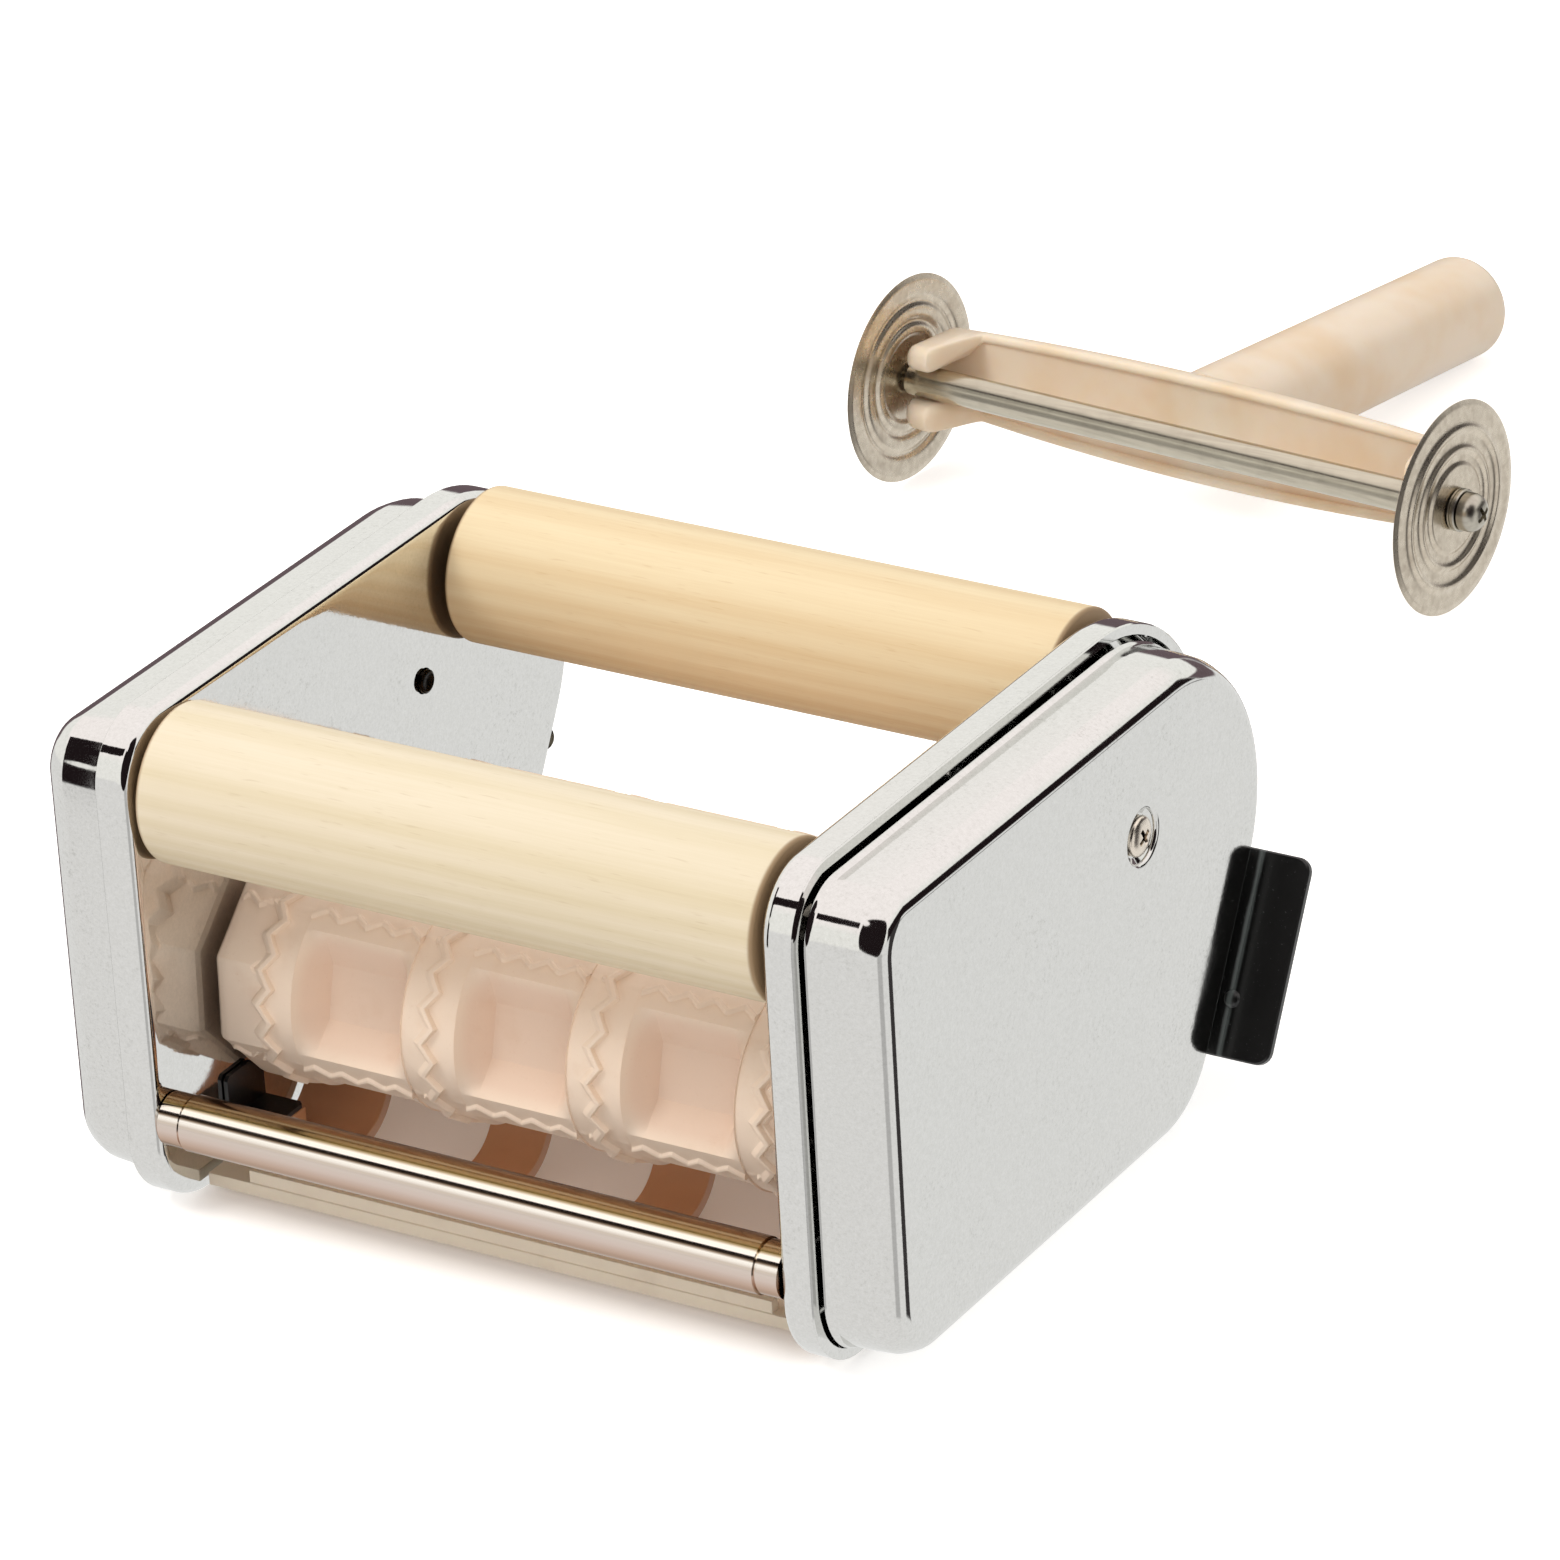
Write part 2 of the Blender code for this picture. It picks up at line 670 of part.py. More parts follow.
def pocket_lines():
    """Cross-section of one pocket's share of the roller: angle and radius inside a pocket.

    The lines round the roller are shared by pockets and lands. Inside a pocket they drop
    from the rim along a slanted wall to a flat floor and rise again."""
    span = 2 * math.pi / POCKETS_AROUND
    pitch = span / STEPS_PER_POCKET
    half_open = math.asin(POCKET_WIDTH / 2 / MOULD_RADIUS)
    chord = MOULD_RADIUS * math.cos(half_open)
    floor = chord - POCKET_DEPTH
    half_floor = POCKET_FLOOR_LENGTH / 2
    land_steps = max(2, round((span - 2 * half_open) / pitch))
    inner_steps = STEPS_PER_POCKET - land_steps
    lines = []
    for step in range(inner_steps + 1):
        share = step / inner_steps * 2 - 1
        rim_angle = half_open * share
        wall_steps = 2
        edge = inner_steps / 2 - wall_steps
        position = step - inner_steps / 2
        if abs(position) <= edge:
            across = half_floor * position / edge
            depth = floor
        else:
            rise = (abs(position) - edge) / wall_steps
            across = math.copysign(half_floor + (POCKET_WIDTH / 2 - half_floor) * rise, position)
            depth = floor + POCKET_DEPTH * rise
        lines.append((rim_angle, math.atan2(across, depth), math.hypot(across, depth)))
    for step in range(1, land_steps):
        angle = half_open + (span - 2 * half_open) * step / land_steps
        lines.append((angle, None, None))
    return lines


def mould_columns():
    """Stations along the mould roller: x, kind of column and swing of the crimp's zigzag."""
    columns = [(-ROLLER_END, "rim", 0.0)]
    ridges = POCKETS_ACROSS + 1
    foot = CRIMP_WIDTH / 2
    for index in range(ridges):
        middle = (index - POCKETS_ACROSS / 2) * POCKET_PITCH
        columns.append((middle - foot, "rim", 1.0))
        columns.append((middle, "crest", 1.0))
        columns.append((middle + foot, "rim", 1.0))
        if index < POCKETS_ACROSS:
            centre = middle + POCKET_PITCH / 2
            half = POCKET_WIDTH / 2
            columns.append((centre - half, "rim", 0.0))
            columns.append((centre - half + POCKET_WALL, "pocket", 0.0))
            columns.append((centre + half - POCKET_WALL, "pocket", 0.0))
            columns.append((centre + half, "rim", 0.0))
    columns.append((ROLLER_END, "rim", 0.0))
    return columns


def mould_roller(name, mirror, parent):
    """Moulded roller: rows of pockets between zigzag crimping ridges that run round it."""
    lines = pocket_lines()
    bore = SHAFT_RADIUS + SEAT_GAP
    rings = []
    for x, kind, swing in mould_columns():
        ring = []
        for pocket in range(POCKETS_AROUND):
            turn = pocket * 2 * math.pi / POCKETS_AROUND
            for index, (rim_angle, angle, radius) in enumerate(lines):
                flip = 1 if (index + pocket * len(lines)) % 2 else -1
                reach = MOULD_RADIUS
                around = rim_angle
                if kind == "crest":
                    reach += CRIMP_HEIGHT
                elif kind == "pocket" and angle is not None:
                    reach = radius
                    around = angle
                theta = POCKET_TURN + turn + around
                if mirror:
                    theta = math.pi - theta
                shift = flip * swing * CRIMP_SWING
                ring.append((x + shift, reach * math.cos(theta), reach * math.sin(theta)))
        rings.append(ring)
    count = len(rings[0])
    for x in (ROLLER_END, -ROLLER_END):
        angles = np.arange(count) * 2 * math.pi / count
        angles = POCKET_TURN + lines[0][0] + angles
        if mirror:
            angles = math.pi - angles
        rings.append([(x, bore * math.cos(a), bore * math.sin(a)) for a in angles])
    return place(name, rings_to_mesh(rings, True), PEACH_PLASTIC, parent)


def mould_shaft(name, clipped, parent):
    """Steel shaft of a mould roller, with a clip groove outside its gear.

    Its left end has a second groove where it is clipped, or else runs into the crank socket."""
    groove = GEAR_END_X + SEAT_GAP
    groove_end = groove + CLIP_THICKNESS + 2 * SEAT_GAP
    neck = SHAFT_RADIUS - CLIP_GROOVE_DEPTH
    tip = groove_end + SHAFT_TIP
    chamfer = CLIP_GROOVE_DEPTH / 2
    right = [
        (groove, SHAFT_RADIUS), (groove, neck), (groove_end, neck), (groove_end, SHAFT_RADIUS),
        (tip - chamfer, SHAFT_RADIUS), (tip, SHAFT_RADIUS - chamfer),
    ]
    outer = left_clip_x() - SEAT_GAP
    inner = outer + CLIP_THICKNESS + 2 * SEAT_GAP
    left_end = -(inner + SHAFT_TIP) if clipped else -(outer + SOCKET_GRIP)
    left = [(left_end, SHAFT_RADIUS - chamfer), (left_end + chamfer, SHAFT_RADIUS)]
    if clipped:
        left += [(-inner, SHAFT_RADIUS), (-inner, neck), (-outer, neck), (-outer, SHAFT_RADIUS)]
    return place(name, lathe(left + right, SMALL), STEEL, parent)


def left_clip_x():
    """Distance from the middle to the retaining ring on the rear shaft's left end."""
    return BUSH_FLANGE_X + BUSH_FLANGE_THICKNESS + 2 * SEAT_GAP


def shaft_bush(name, side, y, parent):
    """Flanged bush that carries a mould shaft in a cheek."""
    bore = SHAFT_RADIUS + RUN_GAP
    body = bore + BUSH_WALL
    flange = body + BUSH_FLANGE_STEP
    inner = CHEEK_INNER - CHEEK_PLAY + RUN_GAP
    outer = BUSH_FLANGE_X + BUSH_FLANGE_THICKNESS
    profile = [
        (inner, bore), (inner, body), (BUSH_FLANGE_X, body), (BUSH_FLANGE_X, flange),
        (outer, flange), (outer, bore),
    ]
    mesh = moved(on_side(lathe(profile, MEDIUM, True), side), (0.0, y, MOULD_Z))
    return place(name, mesh, BRASS, parent)


def involute(base_radius, radius):
    """Angle by which an involute flank has swung at a radius."""
    roll = math.sqrt(max((radius / base_radius) ** 2 - 1.0, 0.0))
    return roll - math.atan(roll)


def gear_outline():
    """Spur gear outline with involute flanks, one tooth centred on +Y."""
    pitch_radius = GEAR_TEETH * GEAR_MODULE / 2
    tip_radius = pitch_radius + GEAR_MODULE * 0.95
    root_radius = pitch_radius - GEAR_MODULE * 1.25
    base_radius = pitch_radius * math.cos(PRESSURE_ANGLE)
    half_tooth = math.pi / 2 / GEAR_TEETH - GEAR_BACKLASH / 2 / pitch_radius
    half_base = half_tooth + involute(base_radius, pitch_radius)
    outline = []
    for tooth in range(GEAR_TEETH):
        middle = tooth * 2 * math.pi / GEAR_TEETH
        flank = [(root_radius, half_base)]
        for share in (0.4, 1.0):
            radius = base_radius + (tip_radius - base_radius) * share
            flank.append((radius, half_base - involute(base_radius, radius)))
        for radius, half in flank:
            outline.append((radius * math.cos(middle - half), radius * math.sin(middle - half)))
        for radius, half in reversed(flank):
            outline.append((radius * math.cos(middle + half), radius * math.sin(middle + half)))
    return outline


def spur_gear(name, parent):
    """Spur gear on the right end of a mould shaft."""
    teeth = slab(gear_outline(), GEAR_X, GEAR_END_X)
    bore = bar(GEAR_X - SHEET, GEAR_END_X + SHEET, SHAFT_RADIUS + SEAT_GAP, SMALL)
    body = combined(teeth, [bore], "DIFFERENCE")
    return place(name, body, BARE_GEAR, parent)


def crank_socket(parent):
    """Sleeve on the front shaft's left end. The crank's cross pin drops into its slot."""
    inner = BUSH_FLANGE_X + BUSH_FLANGE_THICKNESS + SEAT_GAP
    outer = COVER_FACE - COVER_SHEET / 2
    sleeve = tube(inner, outer, SOCKET_BORE / 2, SOCKET_DIAMETER / 2, MEDIUM)
    reach = SOCKET_DIAMETER
    half = SOCKET_SLOT_WIDTH / 2
    slot = slab(box_outline((-reach, -half), (reach, half)),
                outer - SOCKET_SLOT_DEPTH, outer + SOCKET_SLOT_DEPTH)
    sleeve = combined(sleeve, [slot], "DIFFERENCE")
    return place("crank_socket", mirrored_x(sleeve), STEEL, parent)


def tie_tube(name, y, z, parent):
    """Tie tube between the cheeks, stepped down at its ends where it was turned."""
    end = CHEEK_INNER - SEAT_GAP
    outer = TIE_DIAMETER / 2
    bore = outer - TIE_WALL
    collar = end - TIE_COLLAR_LENGTH
    half = [(collar, outer), (collar, outer - TIE_COLLAR_STEP), (end, outer - TIE_COLLAR_STEP)]
    profile = [(-end, bore)] + [(-x, r) for x, r in reversed(half)] + half + [(end, bore)]
    mesh = moved(lathe(profile, MEDIUM, True), (0.0, y, z))
    return place(name, mesh, TUBE_STEEL, parent)


def tie_screw(name, side, y, z, parent):
    """Screw through a cheek into the end of a tie tube."""
    head = TIE_SCREW_HEAD_DIAMETER / 2
    shank = TIE_SCREW_DIAMETER / 2
    seat = CHEEK_OUTER + SEAT_GAP
    crown = seat + TIE_SCREW_DIAMETER * 0.55
    profile = [
        (seat - TIE_SCREW_LENGTH, shank), (seat, shank), (seat, head),
        (crown - head * 0.3, head), (crown, head * 0.7),
    ]
    return place(name, moved(on_side(lathe(profile, TINY), side), (0.0, y, z)), STEEL, parent)


def finger_outline():
    """Side view of a comb finger: flat, then curving up towards the mould roller's underside."""
    top = COMB_BOTTOM_Z + COMB_FINGER_THICKNESS
    inner = COMB_FINGER_BEND_RADIUS
    outer = inner + COMB_FINGER_THICKNESS
    centre_y = COMB_FINGER_BEND_Y
    centre_z = top + inner
    rise = COMB_FINGER_RISE
    steps = 5
    upper = [(COMB_FRONT_Y + COMB_STRIP_DEPTH / 2, top)]
    lower = [(COMB_FRONT_Y + COMB_STRIP_DEPTH / 2, COMB_BOTTOM_Z)]
    for step in range(steps + 1):
        angle = rise * step / steps
        upper.append((centre_y + inner * math.sin(angle), centre_z - inner * math.cos(angle)))
        lower.append((centre_y + outer * math.sin(angle), centre_z - outer * math.cos(angle)))
    along = Vector((math.cos(rise), math.sin(rise)))
    swept = MOULD_RADIUS + CRIMP_HEIGHT + COMB_TIP_GAP
    hub = Vector((FRONT_MOULD_Y, MOULD_Z))

    def run_to_roller(start):
        offset = Vector(start) - hub
        half_b = offset.dot(along)
        room = half_b ** 2 - (offset.length_squared - swept ** 2)
        return -half_b - math.sqrt(max(room, 0.0))

    upper_run = run_to_roller(upper[-1])
    lower_run = upper_run + COMB_FINGER_THICKNESS * 0.35
    upper.append(tuple(Vector(upper[-1]) + along * upper_run))
    lower.append(tuple(Vector(lower[-1]) + along * lower_run))
    return upper + lower[::-1]


def comb(name, mirror, parent):
    """Stripping comb: a strip across the machine, with fingers under the bands between pockets."""
    end = CHEEK_INNER - 4 * SEAT_GAP
    back = COMB_FRONT_Y + COMB_STRIP_DEPTH
    strip_top = COMB_BOTTOM_Z + COMB_STRIP_HEIGHT
    strip = slab(box_outline((COMB_FRONT_Y, COMB_BOTTOM_Z), (back, strip_top)), -end, end)
    lip_end = end - COMB_LIP_INSET
    lip_low = (COMB_FRONT_Y + SEAT_GAP, strip_top - COMB_STRIP_HEIGHT / 2)
    lip_high = (COMB_FRONT_Y + COMB_LIP_DEPTH, strip_top + COMB_LIP_HEIGHT)
    pieces = [slab(box_outline(lip_low, lip_high), -lip_end, lip_end)]
    half = (POCKET_PITCH - POCKET_WIDTH) / 2 + SEAT_GAP
    for index in range(POCKETS_ACROSS + 1):
        middle = (index - POCKETS_ACROSS / 2) * POCKET_PITCH
        low = -end + SEAT_GAP if index == 0 else middle - half
        high = end - SEAT_GAP if index == POCKETS_ACROSS else middle + half
        pieces.append(slab(finger_outline(), low, high))
    post_y, post_x = comb_post_place()
    post_top = BRACKET_FOOT_Z - BRACKET_SHEET - SEAT_GAP
    for side in (1, -1):
        low = (side * post_x - COMB_POST_WIDTH / 2, post_y - COMB_POST_DEPTH / 2)
        high = (side * post_x + COMB_POST_WIDTH / 2, post_y + COMB_POST_DEPTH / 2)
        pieces.append(slab(box_outline(low, high), COMB_BOTTOM_Z + SEAT_GAP, post_top, "Z"))
        peg = bar(COMB_BOTTOM_Z + 2 * SEAT_GAP, BRACKET_FOOT_Z, COMB_PEG_DIAMETER / 2, TINY)
        pieces.append(moved(peg, (side * post_x, post_y, 0.0), UPRIGHT))
    body = combined(strip, pieces, "UNION")
    if mirror:
        body = across_nip(body)
    return place(name, body, PEACH_PLASTIC, parent)


def comb_post_place():
    """Y, and X distance from the middle, of the post that a comb bracket holds."""
    foot_inner = CHEEK_INNER - SEAT_GAP - BRACKET_SHEET - BRACKET_FOOT_REACH
    post_x = foot_inner + COMB_POST_WIDTH / 2
    post_y = BRACKET_FRONT_Y + BRACKET_DEPTH - BRACKET_FOOT_DEPTH / 2
    return post_y, post_x


def across_nip(mesh):
    """Mirror image of a mesh on the other side of the nip between the mould rollers."""
    matrix = Matrix.Translation((0.0, 2 * NIP_Y, 0.0)) @ Matrix.Diagonal((1.0, -1.0, 1.0, 1.0))
    copy = mesh.copy()
    copy.transform(matrix)
    copy.flip_normals()
    return copy


def comb_bracket(name, side, mirror, parent):
    """Black angle bracket: a tab against the cheek and a foot that holds the comb's post."""
    outer = CHEEK_INNER - SEAT_GAP
    inner = outer - BRACKET_SHEET
    back = BRACKET_FRONT_Y + BRACKET_DEPTH
    under = BRACKET_FOOT_Z - BRACKET_SHEET
    corner = BRACKET_SHEET
    tab_outline = [
        (BRACKET_FRONT_Y, under), (back, under), (back, BRACKET_TOP_Z - BRACKET_TAB_CUT),
        (back - BRACKET_TAB_CUT, BRACKET_TOP_Z), (BRACKET_FRONT_Y + corner, BRACKET_TOP_Z),
        (BRACKET_FRONT_Y, BRACKET_TOP_Z - corner),
    ]
    tab = slab(tab_outline, inner, outer)
    reach = inner - BRACKET_FOOT_REACH
    front = back - BRACKET_FOOT_DEPTH
    foot_outline = [
        (inner + BRACKET_SHEET / 2, front), (inner + BRACKET_SHEET / 2, back - SEAT_GAP / 3),
        (reach + corner, back - SEAT_GAP / 3), (reach, back - corner), (reach, front),
    ]
    foot = slab(foot_outline, under, BRACKET_FOOT_Z, "Z")
    body = combined(tab, [foot], "UNION")
    post_y, post_x = comb_post_place()
    drill = bar(under - SHEET, BRACKET_FOOT_Z + SHEET, COMB_PEG_DIAMETER / 2 + SEAT_GAP, TINY)
    drill = moved(drill, (post_x, post_y, 0.0), UPRIGHT)
    body = combined(body, [drill], "DIFFERENCE")
    body = on_side(body, side)
    if mirror:
        body = across_nip(body)
    return place(name, body, BLACK_PAINT, parent, smooth=False)


def back_flange_frame():
    """Matrix from hook plate coordinates to the machine's.

    X stays, Y runs down the slanted back flange from its middle, Z points away from it."""
    middle = CHEEK_VIEW.back_edge_point(0.5)
    sine = math.sin(BACK_SLANT)
    cosine = math.cos(BACK_SLANT)
    return Matrix((
        (1.0, 0.0, 0.0, 0.0),
        (0.0, -sine, cosine, middle.x),
        (0.0, -cosine, -sine, middle.y),
        (0.0, 0.0, 0.0, 1.0),
    ))


def rivet_drill(side_of_middle, radius, start, end):
    """Bar through the back flange where one of a hook plate's rivets sits."""
    drill = moved(bar(start, end, radius, TINY), (0.0, 0.0, 0.0), UPRIGHT)
    across = (CHEEK_OUTER + CHEEK_RIM) / 2
    spot = (across, side_of_middle * RIVET_SPREAD / 2, 0.0)
    drill.transform(back_flange_frame() @ Matrix.Translation(spot))
    return drill


def hook_plate(side, parent):
    """Painted plate riveted behind the back flange, standing out past the cover.

    Its outer part is bent back a little along a line beside the cover."""
    name = "right_hook_plate" if side > 0 else "left_hook_plate"
    root = CHEEK_INNER + HOOK_ROOT_INSET
    half = HOOK_LENGTH / 2
    corners = [(root, -half), (HOOK_REACH_X, -half), (HOOK_REACH_X, half), (root, half)]
    outline = rounded_outline(corners, HOOK_CORNER)
    plate = slab(outline, SEAT_GAP, SEAT_GAP + HOOK_THICKNESS, "Z")
    shape = bmesh.new()
    shape.from_mesh(plate)
    bend_start = HOOK_BEND_X - HOOK_BEND_WIDTH / 2
    bend_end = HOOK_BEND_X + HOOK_BEND_WIDTH / 2
    for bend_x in (bend_start, bend_end):
        everything = list(shape.verts) + list(shape.edges) + list(shape.faces)
        bmesh.ops.bisect_plane(shape, geom=everything, plane_co=(bend_x, 0.0, 0.0),
                               plane_no=(1.0, 0.0, 0.0))
    for vertex in shape.verts:
        beyond = max(vertex.co.x - bend_start, 0.0)
        gentle = min(beyond / HOOK_BEND_WIDTH, 1.0) * HOOK_BEND_WIDTH / 2
        vertex.co.z += (beyond - gentle) * math.tan(HOOK_BEND) if beyond else 0.0
    shape.to_mesh(plate)
    shape.free()
    plate.transform(back_flange_frame())
    radius = RIVET_SHANK_DIAMETER / 2 + SEAT_GAP
    drills = [rivet_drill(way, radius, -SHEET, HOOK_THICKNESS + SHEET) for way in (1, -1)]
    body = combined(plate, drills, "DIFFERENCE")
    return place(name, on_side(body, side), BLACK_PAINT, parent)


def hook_rivet(name, side, way, parent):
    """Rivet through a hook plate and the back flange it hangs on."""
    outer = SEAT_GAP + HOOK_THICKNESS + SEAT_GAP
    inner = -SHEET - SEAT_GAP
    head = RIVET_HEAD_DIAMETER / 2
    shank = RIVET_SHANK_DIAMETER / 2
    profile = [
        (inner - RIVET_HEAD_HEIGHT, head * 0.8), (inner, head * 0.8), (inner, shank),
        (outer, shank), (outer, head), (outer + RIVET_HEAD_HEIGHT, head * 0.6),
    ]
    rivet = moved(lathe(profile, TINY), (0.0, 0.0, 0.0), UPRIGHT)
    across = (CHEEK_OUTER + CHEEK_RIM) / 2
    spot = Matrix.Translation((across, way * RIVET_SPREAD / 2, 0.0))
    rivet.transform(back_flange_frame() @ spot)
    return place(name, on_side(rivet, side), STEEL, parent)


def cutter_wheel(name, side, parent):
    """Stamped cutting disc with rings pressed into it."""
    radius = WHEEL_DIAMETER / 2
    bore = CUTTER_SCREW_SHANK / 2 + SEAT_GAP
    middle = WHEEL_SPACING / 2
    wave_start = WHEEL_HUB_RADIUS
    wave_end = radius - WHEEL_RIM_BAND
    wave_steps = WHEEL_RINGS * 2
    front = [(0.0, bore), (0.0, wave_start)]
    for step in range(1, wave_steps):
        r = wave_start + (wave_end - wave_start) * step / wave_steps
        swell = math.sin(math.pi * WHEEL_RINGS * step / wave_steps) ** 2
        front.append((WHEEL_WAVE * swell, r))
    front += [(0.0, wave_end), (0.0, radius)]
    outer_face = [(middle + WHEEL_SHEET / 2 + x, r) for x, r in front]
    inner_face = [(middle - WHEEL_SHEET / 2 + x, r) for x, r in reversed(front)]
    mesh = lathe(outer_face + inner_face, FINE, True)
    return place(name, on_side(mesh, side), STEEL, parent)


def cutter_axle(parent):
    """Steel rod that joins the two wheels, tapped at both ends for their screws."""
    end = WHEEL_SPACING / 2 - WHEEL_SHEET / 2 - SEAT_GAP
    radius = CUTTER_ROD_DIAMETER / 2
    thread = CUTTER_SCREW_SHANK / 2 + SEAT_GAP
    bottom = end - CUTTER_SCREW_LENGTH
    half = [(end, radius), (end, thread), (bottom, thread)]
    profile = [(-x, r) for x, r in reversed(half)] + half
    return place("cutter_axle", lathe(profile, MEDIUM), STEEL, parent)


def cutter_washer(name, side, parent):
    """Washer between a wheel and its screw's head."""
    start = WHEEL_SPACING / 2 + WHEEL_SHEET / 2 + SEAT_GAP
    bore = CUTTER_SCREW_SHANK / 2 + SEAT_GAP
    ring = tube(start, start + WASHER_THICKNESS, bore, WASHER_DIAMETER / 2, SMALL)
    return place(name, on_side(ring, side), STEEL, parent)


def cutter_screw(name, side, parent):
    """Domed screw that holds a wheel to the rod."""
    seat = WHEEL_SPACING / 2 + WHEEL_SHEET / 2 + WASHER_THICKNESS + 2 * SEAT_GAP
    head = CUTTER_SCREW_HEAD_DIAMETER / 2
    shank = CUTTER_SCREW_SHANK / 2
    height = CUTTER_SCREW_HEAD_HEIGHT
    profile = [(seat - CUTTER_SCREW_LENGTH + WASHER_THICKNESS, shank), (seat, shank), (seat, head)]
    for step in range(4):
        angle = step / 4 * math.pi / 2
        profile.append((seat + height * (0.35 + 0.65 * math.sin(angle)), head * math.cos(angle)))
    return place(name, on_side(lathe(profile, SMALL), side), STEEL, parent)


def yoke_section(x):
    """C-shaped cross-section of the cutter's yoke at a station along it, open to the front.

    It is a shallow tray over most of its length. At both ends its flanges run forward past the
    rod as prongs with eased noses, and grip the rod between them."""
    half_length = YOKE_LENGTH / 2
    share = min(abs(x) / half_length, 1.0) ** 2
    half_height = YOKE_MIDDLE_HALF_HEIGHT + (YOKE_END_HALF_HEIGHT - YOKE_MIDDLE_HALF_HEIGHT) * share
    setback = YOKE_MIDDLE_SETBACK + (YOKE_END_SETBACK - YOKE_MIDDLE_SETBACK) * share
    into_prong = (half_length - abs(x)) / YOKE_PRONG_LENGTH
    nose = YOKE_PRONG_NOSE * max(1.0 - into_prong / YOKE_NOSE_SHARE, 0.0)
    reach = min(max((1.0 - into_prong) / YOKE_SHOULDER_SHARE, 0.0), 1.0)
    front = setback - (setback + YOKE_PRONG_REACH - nose) * reach
    back = YOKE_BACK
    web = back - YOKE_WEB
    grip = CUTTER_ROD_DIAMETER / 2 + RUN_GAP
    open_inner = half_height - YOKE_WALL
    inner = grip + (open_inner - grip) * min(max(2.0 * into_prong - 1.0, 0.0), 1.0)
    return [
        (x, front, half_height), (x, back - YOKE_BEVEL, half_height),
        (x, back, half_height - YOKE_BEVEL),
        (x, back, -half_height + YOKE_BEVEL), (x, back - YOKE_BEVEL, -half_height),
        (x, front, -half_height),
        (x, front, -inner), (x, web, -inner), (x, web, inner), (x, front, inner),
    ]


def cutter_yoke(parent, tilt):
    """Moulded T-handle: the forked channel that holds the rod, and the grip behind it."""
    half = YOKE_LENGTH / 2
    prong = half - YOKE_PRONG_LENGTH
    nose = half - YOKE_PRONG_LENGTH * YOKE_NOSE_SHARE
    shoulder = half - YOKE_PRONG_LENGTH * (1.0 - YOKE_SHOULDER_SHARE)
    stations = [-half, -nose, -shoulder]
    stations += list(np.linspace(-prong, prong, 9))
    stations += [shoulder, nose, half]
    channel = rings_to_mesh([yoke_section(float(x)) for x in stations], False)
    neck = YOKE_BACK - YOKE_WEB / 2
    end = HANDLE_LENGTH
    profile = [(neck, HANDLE_NECK_RADIUS)]
    profile.append((end - HANDLE_END_ROUND, HANDLE_END_RADIUS))
    for step in range(1, 4):
        angle = step / 3 * math.pi / 2
        drop = HANDLE_END_ROUND * (1 - math.cos(angle))
        run = HANDLE_END_ROUND * math.sin(angle)
        profile.append((end - HANDLE_END_ROUND + run, HANDLE_END_RADIUS - drop))
    along_y = Matrix.Rotation(math.pi / 2, 4, "Z")
    grip = moved(lathe(profile, MEDIUM), (0.0, 0.0, 0.0), along_y)
    body = combined(channel, [grip], "UNION")
    item = place("cutter_yoke", body, CREAM_PLASTIC, parent)
    item.rotation_euler = (-tilt, 0.0, 0.0)
    return item


def handle_tilt():
    """Angle at which the grip's end comes down to the table while the wheels stand on it."""
    reach = HANDLE_LENGTH - HANDLE_END_ROUND
    drop = WHEEL_DIAMETER / 2
    lean = math.atan2(HANDLE_END_RADIUS, reach)
    return math.asin(drop / math.hypot(reach, HANDLE_END_RADIUS)) - lean


def build_cutter(assembly):
    """Twin-wheel pastry cutter that lies loose behind the machine."""
    spot = (CUTTER_X, CUTTER_Y, WHEEL_DIAMETER / 2)
    stand = new_empty("cutter_stand", spot, assembly)
    stand.rotation_euler = (0.0, 0.0, CUTTER_TURN)
    cutter_yoke(stand, handle_tilt())
    axis = new_empty("cutter_axis", (0.0, 0.0, 0.0), stand)
    cutter_axle(axis)
    for side, word in ((1, "right"), (-1, "left")):
        cutter_wheel("cutter_wheel_" + word, side, axis)
        cutter_washer("cutter_washer_" + word, side, axis)
        cutter_screw("cutter_screw_" + word, side, axis)


def build_guides(assembly):
    """The two wooden rollers that lead the dough in, with their axles."""
    for word, y in (("front", GUIDE_FRONT_Y), ("rear", GUIDE_REAR_Y)):
        axis = new_empty(word + "_guide_axis", (0.0, y, GUIDE_Z), assembly)
        guide_roller(word + "_guide_roller", axis)
        guide_axle(word + "_guide_axle", y, assembly)


def build_moulds(assembly):
    """The two geared mould rollers, their shafts, bushes, gears and retaining rings."""
    ring_radius = SHAFT_RADIUS + CLIP_STEP
    clip_x = GEAR_END_X + 2 * SEAT_GAP
    for word, y, mirror in (("front", FRONT_MOULD_Y, False), ("rear", REAR_MOULD_Y, True)):
        axis = new_empty(word + "_mould_axis", (0.0, y, MOULD_Z), assembly)
        mould_roller(word + "_mould_roller", mirror, axis)
        spur_gear(word + "_mould_gear", axis)
        for side, side_word in ((1, "right"), (-1, "left")):
            shaft_bush(word + "_" + side_word + "_bush", side, y, assembly)
        clip = clip_ring(clip_x, SHAFT_RADIUS, ring_radius)
        place(word + "_gear_clip", clip, STEEL, axis)
        mould_shaft(word + "_mould_shaft", mirror, axis)
        if mirror:
            ring = mirrored_x(clip_ring(left_clip_x(), SHAFT_RADIUS, ring_radius))
            place("rear_shaft_clip", ring, STEEL, axis)
        else:
            crank_socket(axis)


